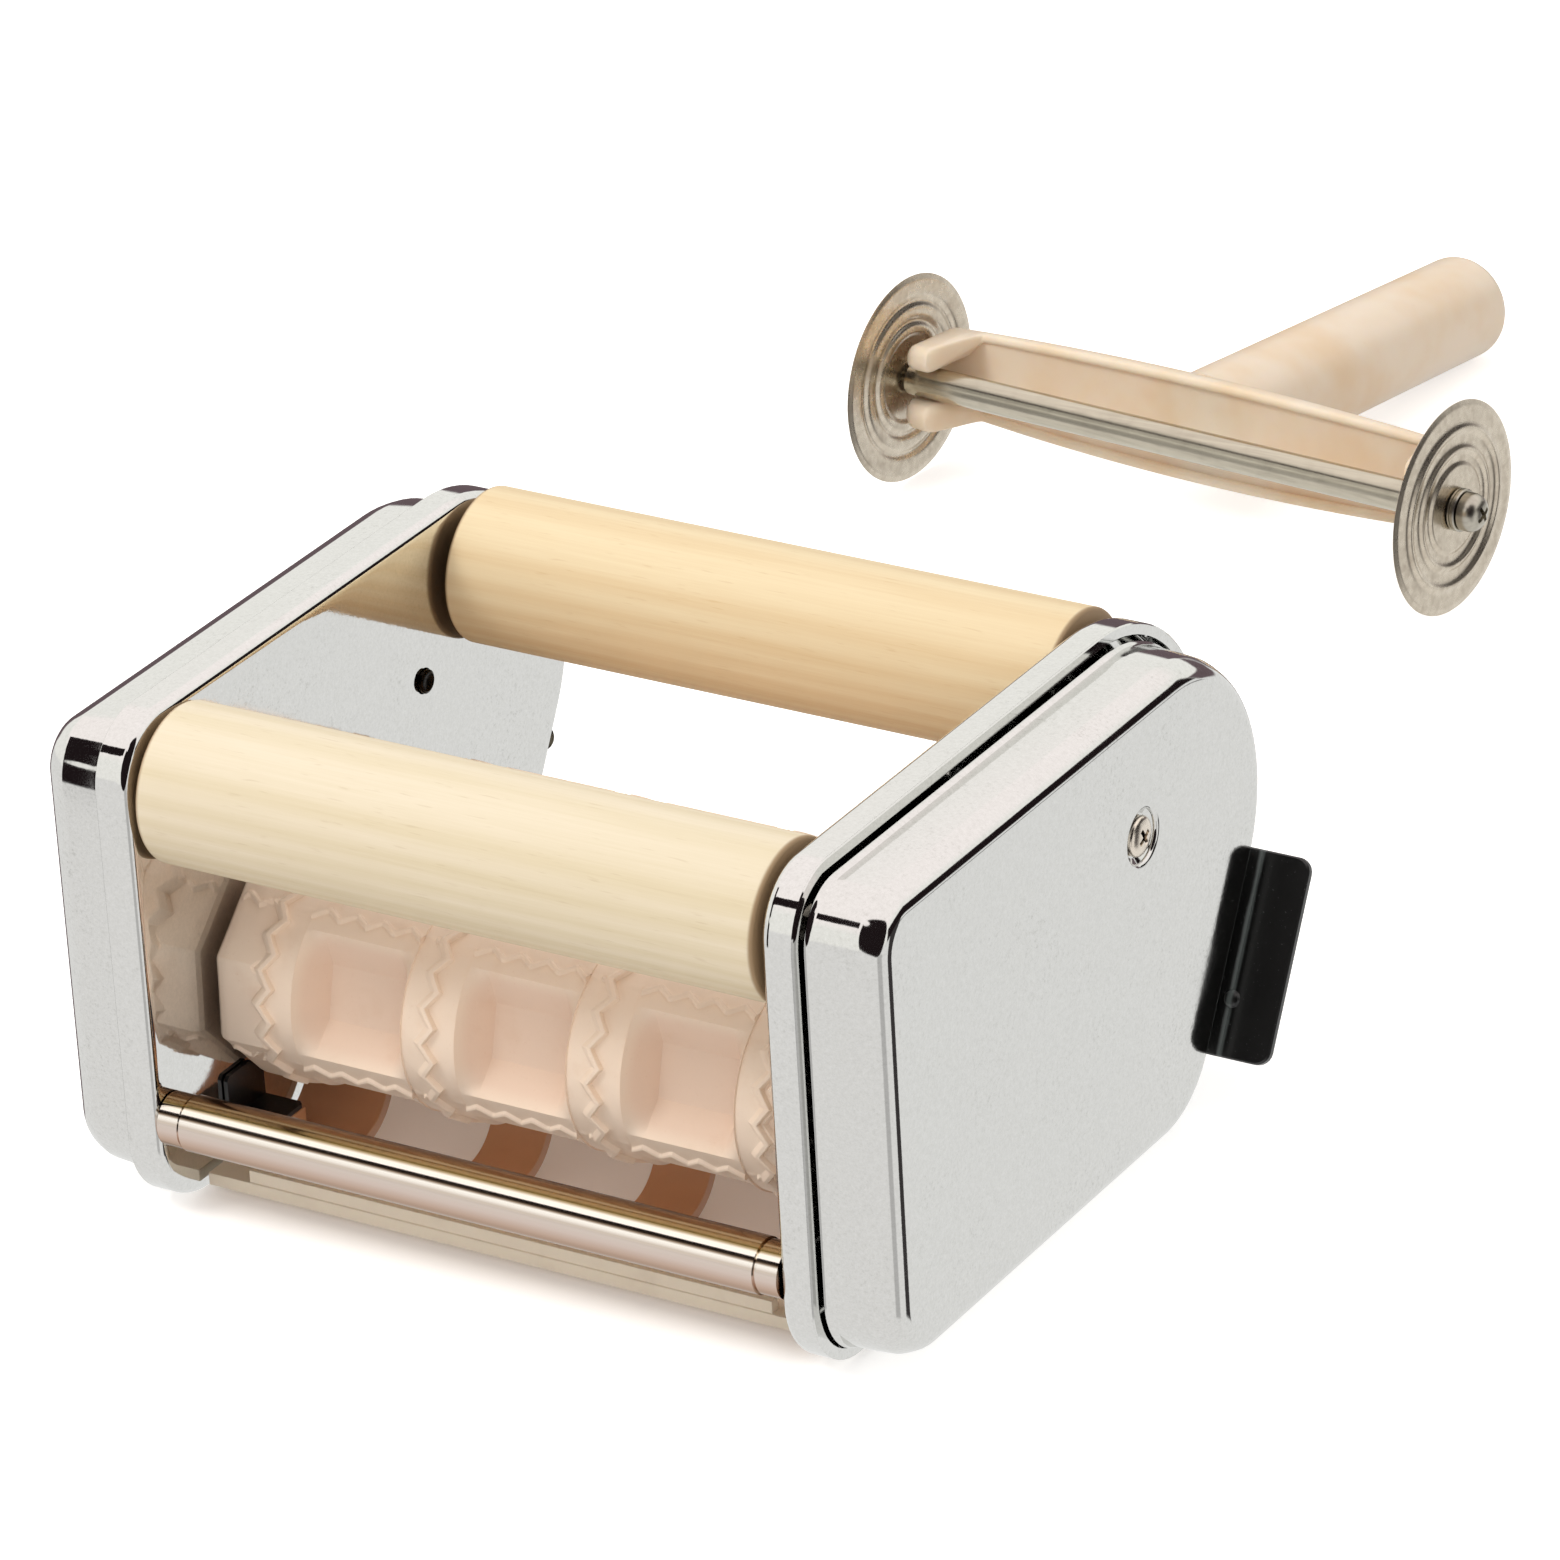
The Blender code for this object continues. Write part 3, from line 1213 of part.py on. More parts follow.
def build_frame(assembly):
    """Cheeks, covers, ties, combs and what holds them together."""
    for side, word in ((1, "right"), (-1, "left")):
        side_plate(side, assembly)
        outer_cover(side, assembly)
        cover_boss(side, assembly)
        cover_screw(side, assembly)
        hook_plate(side, assembly)
        hook_rivet(word + "_hook_rivet_lower", side, 1, assembly)
        hook_rivet(word + "_hook_rivet_upper", side, -1, assembly)
        tie_screw("front_tie_screw_" + word, side, FRONT_TIE_Y, FRONT_TIE_Z, assembly)
        tie_screw("rear_tie_screw_" + word, side, REAR_TIE_Y, REAR_TIE_Z, assembly)
        for comb_word, mirror in (("front", False), ("rear", True)):
            comb_bracket(comb_word + "_comb_bracket_" + word, side, mirror, assembly)
    tie_tube("front_tie_tube", FRONT_TIE_Y, FRONT_TIE_Z, assembly)
    tie_tube("rear_tie_tube", REAR_TIE_Y, REAR_TIE_Z, assembly)
    comb("front_comb", False, assembly)
    comb("rear_comb", True, assembly)


def centre_on_table(assembly):
    """Move the set so that the origin is on the table under the middle of its box."""
    bpy.context.view_layer.update()
    graph = bpy.context.evaluated_depsgraph_get()
    corners = []
    for item in bpy.data.objects:
        if item.type != "MESH":
            continue
        shape = item.evaluated_get(graph)
        corners.extend(item.matrix_world @ vertex.co for vertex in shape.data.vertices)
    cloud = np.array([tuple(corner) for corner in corners])
    low = cloud.min(axis=0)
    high = cloud.max(axis=0)
    middle = (low + high) / 2
    assembly.location = (-middle[0], -middle[1], -low[2])
    bpy.context.view_layer.update()


def main():
    """Build the whole set."""
    clear_scene()
    assembly = new_empty("assembly", (0.0, 0.0, 0.0))
    build_frame(assembly)
    build_guides(assembly)
    build_moulds(assembly)
    build_cutter(assembly)
    centre_on_table(assembly)


main()
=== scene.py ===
"""Looks of a ravioli attachment for a pasta machine, and of its twin-wheel pastry cutter.

Lengths are in metres. Shapes are worked out in the machine's own coordinates: X runs along
the rollers from the middle of the machine, Y = 0 is the line through the cover screws, and
Z = 0 is the table. Layout.shift then takes them to the frame.
"""

import json
import logging
import math
from dataclasses import dataclass
from enum import Enum
from typing import ClassVar

import bmesh
import bpy
import numpy as np
from mathutils import Matrix, Vector


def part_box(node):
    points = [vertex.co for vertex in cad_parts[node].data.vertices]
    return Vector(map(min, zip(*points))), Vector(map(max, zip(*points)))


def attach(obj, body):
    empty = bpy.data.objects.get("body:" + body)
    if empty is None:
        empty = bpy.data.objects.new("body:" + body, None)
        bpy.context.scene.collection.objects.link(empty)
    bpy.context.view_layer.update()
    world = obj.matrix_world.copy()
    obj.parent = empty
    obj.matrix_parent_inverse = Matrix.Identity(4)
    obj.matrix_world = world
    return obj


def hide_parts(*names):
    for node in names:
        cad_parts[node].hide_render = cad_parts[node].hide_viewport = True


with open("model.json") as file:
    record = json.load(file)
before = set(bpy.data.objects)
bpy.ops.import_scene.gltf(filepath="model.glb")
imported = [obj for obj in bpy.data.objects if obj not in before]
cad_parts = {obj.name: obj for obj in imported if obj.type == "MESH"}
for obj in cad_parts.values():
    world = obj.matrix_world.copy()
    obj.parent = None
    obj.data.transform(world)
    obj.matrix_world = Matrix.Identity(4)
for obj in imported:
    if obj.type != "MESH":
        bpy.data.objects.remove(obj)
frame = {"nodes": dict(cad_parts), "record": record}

log = logging.getLogger("attachment")

Colour = tuple[float, float, float]
Point = tuple[float, float, float]
Faces = list[tuple[int, ...]]
Outline = tuple[tuple[float, float], ...]
Profile = list[tuple[float, float, float]]
Links = dict[str, object]
Material = bpy.types.Material
Mesh = bpy.types.Mesh
Socket = bpy.types.NodeSocket


def linear(code: str) -> Colour:
    """Linear colour of a six-digit display colour code."""
    parts = [int(code[start:start + 2], 16) / 255 for start in (0, 2, 4)]
    return tuple(c / 12.92 if c <= 0.04045 else ((c + 0.055) / 1.055) ** 2.4 for c in parts)


# Shapes


@dataclass(frozen=True)
class Shape:
    """Surface as an array of points and a list of faces."""

    points: np.ndarray
    faces: Faces

    def moved(self, x: float = 0.0, y: float = 0.0, z: float = 0.0) -> "Shape":
        """The same surface, shifted."""
        return Shape(self.points + np.array((x, y, z)), self.faces)

    def placed(self, matrix: Matrix) -> "Shape":
        """The same surface, taken through a matrix."""
        grid = np.array(matrix, float)
        return Shape(self.points @ grid[:3, :3].T + grid[:3, 3], self.faces)

    def on_side(self, side: int) -> "Shape":
        """A surface drawn for the right side (+1), or its mirror image for the left (-1).

        Args:
            side: +1 or -1.

        Returns:
            The surface.
        """
        if side > 0:
            return self
        turned = [face[::-1] for face in self.faces]
        return Shape(self.points * np.array((-1.0, 1.0, 1.0)), turned)

    def mirrored_y(self, plane: float) -> "Shape":
        """Mirror image on the other side of a plane of constant Y."""
        points = self.points * np.array((1.0, -1.0, 1.0)) + np.array((0.0, 2 * plane, 0.0))
        return Shape(points, [face[::-1] for face in self.faces])


def skin(rings: np.ndarray, closed_path: bool = False) -> Shape:
    """Skin over a stack of equal rings: quads between neighbours, one face at either end.

    Args:
        rings: Array of rings, points and coordinates.
        closed_path: True where the last ring joins the first, as in a tube.

    Returns:
        The closed surface.
    """
    stack, count, _ = rings.shape
    rows = np.arange(stack if closed_path else stack - 1)[:, None]
    columns = np.arange(count)[None, :]
    near = rows * count
    far = (rows + 1) % stack * count
    following = (columns + 1) % count
    quads = np.stack([near + columns, near + following, far + following, far + columns], -1)
    faces = list(map(tuple, quads.reshape(-1, 4).tolist()))
    if not closed_path:
        faces.append(tuple(range(count - 1, -1, -1)))
        faces.append(tuple(range((stack - 1) * count, stack * count)))
    return Shape(rings.reshape(-1, 3), faces)


def lathe(profile: list[tuple[float, float]], segments: int, closed: bool = False) -> Shape:
    """Body turned about X: each profile point (x, r) becomes the ring (x, r cos a, r sin a).

    Args:
        profile: Points (x, radius) from one end to the other.
        segments: Points in a ring.
        closed: True where the profile is a closed path, as in a ring with a bore.

    Returns:
        The turned surface.
    """
    path = np.array(profile, float)
    angle = np.arange(segments) * 2 * math.pi / segments
    x = np.repeat(path[:, :1], segments, axis=1)
    return skin(np.stack([x, path[:, 1:] * np.cos(angle), path[:, 1:] * np.sin(angle)], -1), closed)


def rounded(points: list[tuple[float, float]], radius: float, steps: int = 5) -> np.ndarray:
    """Polygon whose corners are arcs: centre plus radius times (cos a, sin a) at each corner.

    Args:
        points: The polygon's corners.
        radius: Radius of every corner.
        steps: Steps in each arc.

    Returns:
        Array of points.
    """
    made = []
    for index, corner in enumerate(points):
        at = np.array(corner)
        before = np.array(points[index - 1]) - at
        after = np.array(points[(index + 1) % len(points)]) - at
        before = before / np.linalg.norm(before)
        after = after / np.linalg.norm(after)
        half = math.acos(float(np.clip(before @ after, -1, 1))) / 2
        middle = before + after
        centre = at + middle / np.linalg.norm(middle) * radius / math.sin(half)
        start = at + before * radius / math.tan(half) - centre
        end = at + after * radius / math.tan(half) - centre
        first = math.atan2(start[1], start[0])
        turn = (math.atan2(end[1], end[0]) - first + math.pi) % (2 * math.pi) - math.pi
        angle = first + turn * np.linspace(0, 1, steps + 1)
        made.append(centre + radius * np.stack([np.cos(angle), np.sin(angle)], -1))
    return np.concatenate(made)


class Along(Enum):
    """Axis that a flat outline is carried along."""

    X = (2, 0, 1)
    Z = (0, 1, 2)


def slab(outline: np.ndarray, low: float, high: float, along: Along) -> Shape:
    """Outline (u, v) carried from one height to another along an axis.

    Args:
        outline: Array of points (u, v), in the order of the two other axes.
        low: Lower height.
        high: Upper height.
        along: The axis.

    Returns:
        A closed prism.
    """
    rings = []
    for height in (low, high):
        ring = np.column_stack([outline, np.full(len(outline), height)])
        rings.append(ring[:, list(along.value)])
    return skin(np.stack(rings))


def rectangle(left: float, right: float, low: float, high: float) -> np.ndarray:
    """Outline of an upright rectangle."""
    return np.array([(left, low), (right, low), (right, high), (left, high)])


def arc(start: float, end: float, steps: int) -> np.ndarray:
    """Evenly spaced angles from start to end, both counted."""
    return np.linspace(start, end, steps + 1)


# Shader maths


class Signal:
    """Number that varies over a surface. Operators on it add Math nodes."""

    def __init__(self, graph: "Graph", socket: Socket) -> None:
        """Wrap an output socket of a graph."""
        self.graph = graph
        self.socket = socket

    def _math(self, operation: str, first: object, second: object) -> "Signal":
        """Math node on two values or signals."""
        made = self.graph.node("ShaderNodeMath", {"operation": operation}, {0: first, 1: second})
        return Signal(self.graph, made.outputs[0])

    def __add__(self, other: object) -> "Signal":
        """Sum."""
        return self._math("ADD", self, other)

    def __radd__(self, other: object) -> "Signal":
        """Sum, reflected."""
        return self._math("ADD", other, self)

    def __sub__(self, other: object) -> "Signal":
        """Difference."""
        return self._math("SUBTRACT", self, other)

    def __rsub__(self, other: object) -> "Signal":
        """Difference, reflected."""
        return self._math("SUBTRACT", other, self)

    def __mul__(self, other: object) -> "Signal":
        """Product."""
        return self._math("MULTIPLY", self, other)

    def __rmul__(self, other: object) -> "Signal":
        """Product, reflected."""
        return self._math("MULTIPLY", other, self)

    def __pow__(self, other: object) -> "Signal":
        """Power."""
        return self._math("POWER", self, other)

    def step(self, low: float, high: float) -> "Signal":
        """0 below low, 1 above high and a smooth rise between them.

        Args:
            low: Where the rise starts.
            high: Where it ends.

        Returns:
            The step.
        """
        made = self.graph.node(
            "ShaderNodeMapRange", {"interpolation_type": "SMOOTHSTEP"},
            {"Value": self, "From Min": low, "From Max": high},
        )
        return Signal(self.graph, made.outputs["Result"])

    def size(self) -> "Signal":
        """The value without its sign."""
        return self._math("ABSOLUTE", self, 0.0)

    def sine(self) -> "Signal":
        """Sine of the value as an angle in radians."""
        return self._math("SINE", self, 0.0)

    def bearing(self, along: "Signal") -> "Signal":
        """Angle in degrees whose tangent is this value over another one."""
        return self._math("ARCTAN2", self, along) * math.degrees(1.0)

    def larger(self, other: object) -> "Signal":
        """The larger of two values."""
        return self._math("MAXIMUM", self, other)


class Graph:
    """Node tree of a material or of the world."""

    def __init__(self, tree: bpy.types.NodeTree) -> None:
        """Wrap a node tree."""
        self.tree = tree

    def node(self, kind: str, settings: dict | None = None,
             inputs: dict | None = None) -> bpy.types.Node:
        """New node.

        Args:
            kind: The node's type.
            settings: Properties, set first. "stops" gives a ramp's places and colours.
            inputs: Values, signals or sockets for the node's inputs, by name or number.

        Returns:
            The node.
        """
        made = self.tree.nodes.new(kind)
        for name, value in (settings or {}).items():
            if name == "stops":
                elements = made.color_ramp.elements
                while len(elements) < len(value):
                    elements.new(0.5)
                for element, (place, colour) in zip(elements, value):
                    element.position = place
                    element.color = (*colour, 1.0)
            else:
                setattr(made, name, value)
        for name, value in (inputs or {}).items():
            socket = made.inputs[name]
            if isinstance(value, Signal):
                self.tree.links.new(value.socket, socket)
            elif isinstance(value, Socket):
                self.tree.links.new(value, socket)
            elif isinstance(value, tuple) and len(value) == 3 and socket.type == "RGBA":
                socket.default_value = (*value, 1.0)
            else:
                socket.default_value = value
        return made

    def place(self, centre: Point = (0.0, 0.0, 0.0), scale: Point = (1.0, 1.0, 1.0),
              turn: Point = (0.0, 0.0, 0.0)) -> Socket:
        """Object coordinates, centred on a point, then turned and stretched.

        Args:
            centre: The new origin.
            scale: Stretch of each axis.
            turn: Turn about each axis.

        Returns:
            The coordinates.
        """
        source = self.node("ShaderNodeTexCoord").outputs["Object"]
        centred = self.node("ShaderNodeMapping", {}, {
            "Vector": source, "Location": tuple(-c for c in centre)})
        made = self.node("ShaderNodeMapping", {}, {
            "Vector": centred.outputs[0], "Rotation": turn, "Scale": scale})
        return made.outputs[0]

    def split(self, vector: Socket) -> tuple[Signal, Signal, Signal]:
        """The three parts of a vector as signals."""
        made = self.node("ShaderNodeSeparateXYZ", {}, {0: vector})
        return tuple(Signal(self, made.outputs[index]) for index in range(3))

    def noise(self, where: Socket, scale: float, detail: float = 2.0,
              roughness: float = 0.5) -> Signal:
        """Soft noise between 0 and 1.

        Args:
            where: Coordinates.
            scale: Size of the pattern, in waves to the metre.
            detail: Octaves.
            roughness: Share of each finer octave.

        Returns:
            The noise.
        """
        made = self.node("ShaderNodeTexNoise", {}, {
            "Vector": where, "Scale": scale, "Detail": detail, "Roughness": roughness})
        return Signal(self, made.outputs[0])

    def mix(self, share: object, first: object, second: object) -> Socket:
        """Colour between two colours."""
        made = self.node("ShaderNodeMix", {"data_type": "RGBA"}, {0: share, 6: first, 7: second})
        return made.outputs[2]

    def ramp(self, share: Signal, stops: list[tuple[float, Colour]]) -> Socket:
        """Colour from a ramp of stops."""
        made = self.node("ShaderNodeValToRGB", {"stops": stops}, {0: share})
        return made.outputs[0]

    def bump(self, height: Signal, distance: float, strength: float = 1.0) -> Socket:
        """Normal of a surface raised by a height.

        Args:
            height: Height.
            distance: Height of 1, in metres.
            strength: Share of the effect.

        Returns:
            The normal.
        """
        made = self.node("ShaderNodeBump", {}, {
            "Strength": strength, "Distance": distance, "Height": height})
        return made.outputs[0]


def surface(name: str, constants: dict) -> tuple[Material, Graph, bpy.types.Node]:
    """New material with its Principled shader.

    Args:
        name: The material's name.
        constants: Values for the shader's own sockets.

    Returns:
        The material, its graph and its shader.
    """
    material = bpy.data.materials.new(name)
    material.use_nodes = True
    shader = material.node_tree.nodes["Principled BSDF"]
    for key, value in constants.items():
        shader.inputs[key].default_value = value
    return material, Graph(material.node_tree), shader


def feed(graph: Graph, shader: bpy.types.Node, links: dict) -> None:
    """Link signals or sockets to a shader's inputs.

    Args:
        graph: The shader's graph.
        shader: The shader.
        links: Signals and sockets by input.
    """
    for key, value in links.items():
        source = value.socket if isinstance(value, Signal) else value
        graph.tree.links.new(source, shader.inputs[key])


# Finishes


class Finish:
    """Recipe of a material: settings that hold all over it, and links for what varies."""

    settings: ClassVar[Links] = {}

    def links(self, graph: Graph) -> Links:
        """What varies over the surface; each finish gives its own."""
        raise NotImplementedError

    def material(self, name: str) -> Material:
        """Build the finish as a material.

        Args:
            name: The material's name.

        Returns:
            The material.
        """
        material, graph, shader = surface(name, self.settings)
        feed(graph, shader, self.links(graph))
        return material


@dataclass(frozen=True)
class Chrome(Finish):
    """Chromed sheet: bright, faintly mottled, with the fine grain of the rolled sheet under it."""

    tint: Colour = linear("e9e9e7")
    shade: Colour = linear("c6c6c2")
    roughness: float = 0.045
    grain: float = 1.0
    cloud_scale: float = 45.0
    speck_scale: float = 1100.0
    fine_scale: float = 2300.0
    relief: float = 0.00002
    settings: ClassVar[Links] = {"Metallic": 1.0, "IOR": 2.5}

    def links(self, graph: Graph) -> Links:
        """Dust in soft patches, over two sizes of grain.

        Args:
            graph: The material's graph.

        Returns:
            Links to the shader's inputs.
        """
        where = graph.place()
        cloud = graph.noise(where, self.cloud_scale, 4.0, 0.6)
        speck = graph.noise(where, self.speck_scale, 2.0, 0.6)
        fine = graph.noise(where, self.fine_scale, 2.0, 0.6)
        patch = cloud.step(0.42, 0.72)
        dust = speck.step(0.55, 0.78)
        shade = (patch * dust * 0.45 + speck * 0.50 + fine * 0.50 - 0.20) * self.grain
        return {
            "Base Color": graph.mix(shade, self.tint, self.shade),
            "Roughness": self.roughness + patch * 0.04 + dust * 0.03,
            "Normal": graph.bump(speck + cloud * 2.0, self.relief, 0.24 * self.grain),
        }


@dataclass(frozen=True)
class Steel(Finish):
    """Plain or drawn steel, streaked along one axis.

    With a recess given, painted shade darkens what lies within a radius of that point's X axis and
    nearer to the middle of the machine than a screw's head."""

    tint: Colour = linear("c4bfb2")
    shade: Colour = linear("8f887c")
    roughness: float = 0.22
    stretch: Point = (0.05, 1.0, 1.0)
    streak_scale: float = 700.0
    cloud_scale: float = 160.0
    amount: float = 0.6
    relief: float = 0.00002
    recess: Point | None = None
    recess_top: float = 0.1023
    recess_fade: float = 0.0004
    recess_reach: float = 0.0034
    # Colour of the painted shade in the screws' cross recesses.
    recess_shade: Colour = linear("1c1713")
    settings: ClassVar[Links] = {"Metallic": 1.0}

    def links(self, graph: Graph) -> Links:
        """Streaks and soft clouds of a darker tone.

        Args:
            graph: The material's graph.

        Returns:
            Links to the shader's inputs.
        """
        drawn = graph.noise(graph.place(scale=self.stretch), self.streak_scale, 3.0, 0.6)
        cloud = graph.noise(graph.place(), self.cloud_scale, 3.0, 0.55)
        share = drawn.step(0.35, 0.75) * self.amount * 0.6 + cloud.step(0.45, 0.8) * self.amount * 0.4
        colour = graph.mix(share, self.tint, self.shade)
        # Painted shade: near the screw's axis and below its head's top, the colour goes dark.
        if self.recess:
            across, along, up = graph.split(graph.place(self.recess))
            reach = self.recess_reach ** 2
            near = (along * along + up * up).step(reach * 1.1, reach)
            deep = across.size().step(self.recess_top, self.recess_top - self.recess_fade)
            colour = graph.mix(near * deep, colour, self.recess_shade)
        return {
            "Base Color": colour,
            "Roughness": self.roughness + drawn * 0.10 + cloud * 0.06,
            "Normal": graph.bump(drawn, self.relief, 0.3),
        }


@dataclass(frozen=True)
class PolishedTube(Finish):
    """Bright tube with a painted reflection: long streaks of the room, painted into its colour, that
    follow the angle round it.
    """

    axis: Point
    first_angle: float = -60.0
    span: float = 180.0
    jitter: float = 1.5
    streaks: tuple[tuple[float, str], ...] = (
        (-60, "6a4523"), (-34, "a8866c"), (-18, "c9ae9c"), (0, "dccabf"), (12, "e0d2c7"),
        (20, "cdbfb3"), (26, "f4ece4"), (31, "fff8f0"), (34.5, "9c8a76"), (37.5, "33241a"),
        (40, "b09880"), (43, "fffaf0"), (53, "fdf6e8"), (58, "b2a07c"), (62, "84703f"),
        (66, "d0b893"), (70, "d8c4a8"), (74, "9a8260"), (84, "8c6e4e"), (110, "684425"),
    )
    settings: ClassVar[Links] = {"Metallic": 1.0}

    def links(self, graph: Graph) -> Links:
        """Painted reflection: a ramp over the angle round the tube, which starts at the front and runs
        up.

        Args:
            graph: The material's graph.

        Returns:
            Links to the shader's inputs.
        """
        # The base colour is a painted reflection of the room, set by the angle round the tube.
        _, side, height = graph.split(graph.place(self.axis))
        angle = height.bearing(side * -1.0)
        # Long streaky noise: it wobbles the painted reflection's edges and varies the roughness.
        wear_and_sheen = graph.noise(graph.place(scale=(0.03, 1.0, 1.0)), 900.0, 2.0, 0.6)
        share = (angle + wear_and_sheen * self.jitter - self.first_angle) * (1.0 / self.span)
        middle = self.jitter / 2 - self.first_angle
        stops = [((degrees + middle) / self.span, linear(code)) for degrees, code in self.streaks]
        return {"Base Color": graph.ramp(share, stops), "Roughness": 0.07 + wear_and_sheen * 0.08}


@dataclass(frozen=True)
class TurnedWood(Finish):
    """Pale, close-grained wood, turned and sanded: long fibres, faint bands and tiny flecks."""

    light: Colour = linear("e6d8c0")
    middle: Colour = linear("dcccac")
    dark: Colour = linear("bfa67e")
    ends: Colour = linear("a48867")
    half_length: float = 0.0750
    centre: Point = (0.0, 0.0, 0.0)
    heart: tuple[float, float] = (0.035, -0.05)
    ring_scale: float = 2100.0
    fibre_scale: float = 1500.0
    band_scale: float = 90.0
    relief: float = 0.00005
    settings: ClassVar[Links] = {"Coat Weight": 0.03, "Coat Roughness": 0.4}

    def links(self, graph: Graph) -> Links:
        """Growth rings round an axis outside the roller, fibres, flecks and darker ends.

        The rings show as long bands on the roller's side and as arcs on its ends.

        Args:
            graph: The material's graph.

        Returns:
            Links to the shader's inputs.
        """
        heart = (self.centre[0], self.centre[1] + self.heart[0], self.centre[2] + self.heart[1])
        across = graph.place(heart, (0.035, 1.0, 1.0), (0.0, 0.012, 0.02))
        _, side, height = graph.split(across)
        wander = graph.noise(across, 45.0, 3.0, 0.55)
        radius = (side * side + height * height) ** 0.5 + wander * 0.006
        rings = graph.noise(graph.place(heart, (0.02, 0.02, 0.02)), 10.0, 2.0, 0.5)
        wave = (radius * self.ring_scale + rings * 6.0).sine()
        fibre = graph.noise(graph.place(self.centre, (0.02, 1.0, 1.0)), self.fibre_scale, 3.0, 0.65)
        fleck = graph.noise(graph.place(self.centre, (0.10, 1.0, 1.0)), self.fibre_scale, 1.0, 0.5)
        band = graph.noise(graph.place(self.centre, (0.05, 1.0, 1.0)), self.band_scale, 2.0, 0.5)
        share = wave * 0.10 + fibre * 0.42 + band * 0.30 + 0.10
        colour = graph.ramp(share, [(0.20, self.light), (0.60, self.middle), (1.00, self.dark)])
        colour = graph.mix(fleck.step(0.64, 0.80) * 0.28, colour, self.dark)
        far, _, _ = graph.split(graph.place(self.centre))
        tip = far.size().step(self.half_length - 0.0012, self.half_length - 0.0003)
        return {
            "Base Color": graph.mix(tip, colour, self.ends),
            "Roughness": 0.52 + fibre * 0.12,
            "Normal": graph.bump(fibre + wave * 0.1, self.relief, 0.35),
        }


@dataclass(frozen=True)
class MouldPlastic(Finish):
    """Matt moulded plastic of the ravioli rollers: paler on the rims, with a painted shade, pinker and
    darker, in the pockets.
    """

    rim: Colour = linear("f8e2cd")
    # Painted shade of the pockets.
    recess: Colour = linear("f3d8c3")
    stain: Colour = linear("e0bb9c")
    axis: Point = (0.0, 0.0, 0.0)
    pocket_radius: float = 0.0205
    rim_radius: float = 0.0240
    cloud_scale: float = 110.0
    grit_scale: float = 1500.0
    relief: float = 0.00006

    def links(self, graph: Graph) -> Links:
        """Stained plastic; the distance from the axis tells the rims from the pockets' floors, which
        get a painted shade.

        Args:
            graph: The material's graph.

        Returns:
            Links to the shader's inputs.
        """
        _, side, height = graph.split(graph.place(self.axis))
        radius = (side * side + height * height) ** 0.5
        where = graph.place()
        cloud = graph.noise(where, self.cloud_scale, 3.0, 0.6)
        grit = graph.noise(where, self.grit_scale, 2.0, 0.6)
        # Painted shade: inside the rims the colour turns to the darker, pinker pocket tone.
        depth = 1.0 - radius.step(self.pocket_radius, self.rim_radius)
        colour = graph.mix(depth, self.rim, self.recess)
        stain = cloud.step(0.52, 0.85) * 0.30 + grit.step(0.62, 0.80) * 0.22
        return {
            "Base Color": graph.mix(stain, colour, self.stain),
            "Roughness": 0.50 + cloud * 0.15,
            "Normal": graph.bump(grit + cloud * 1.5, self.relief, 0.5),
        }


@dataclass(frozen=True)
class CombPlastic(Finish):
    """Half-clear plastic of the combs: pale along the strip, with a painted shade of darker amber on
    the fingers.
    """

    strip: Colour = linear("fff0da")
    # Painted shade of the fingers, which lie under the mould rollers.
    finger: Colour = linear("dfa67a")
    stain: Colour = linear("8f5a34")
    strip_back: float = 0.0
    finger_side: float = 1.0
    cloud_scale: float = 90.0
    grit_scale: float = 1300.0
    relief: float = 0.00004
    settings: ClassVar[Links] = {
        "Subsurface Weight": 0.05, "Subsurface Radius": (0.004, 0.002, 0.001),
        "Subsurface Scale": 1.0, "Specular IOR Level": 0.45}

    def links(self, graph: Graph) -> Links:
        """Two tones, the fingers' one a painted shade; the mask runs along Y, from the strip's back
        edge into the fingers.

        Args:
            graph: The material's graph.

        Returns:
            Links to the shader's inputs.
        """
        _, along, _ = graph.split(graph.place((0.0, self.strip_back, 0.0)))
        cloud = graph.noise(graph.place(), self.cloud_scale, 3.0, 0.6)
        grit = graph.noise(graph.place(), self.grit_scale, 2.0, 0.5)
        # Painted shade: past the strip's back edge the fingers take the darker amber.
        mask = (along * self.finger_side + cloud * 0.001).step(0.0002, 0.0022)
        colour = graph.mix(mask, self.strip, self.finger)
        return {
            "Base Color": graph.mix(cloud.step(0.5, 0.9) * 0.12, colour, self.stain),
            "Roughness": 0.36 + cloud * 0.12,
            "Normal": graph.bump(grit, self.relief, 0.4),
        }


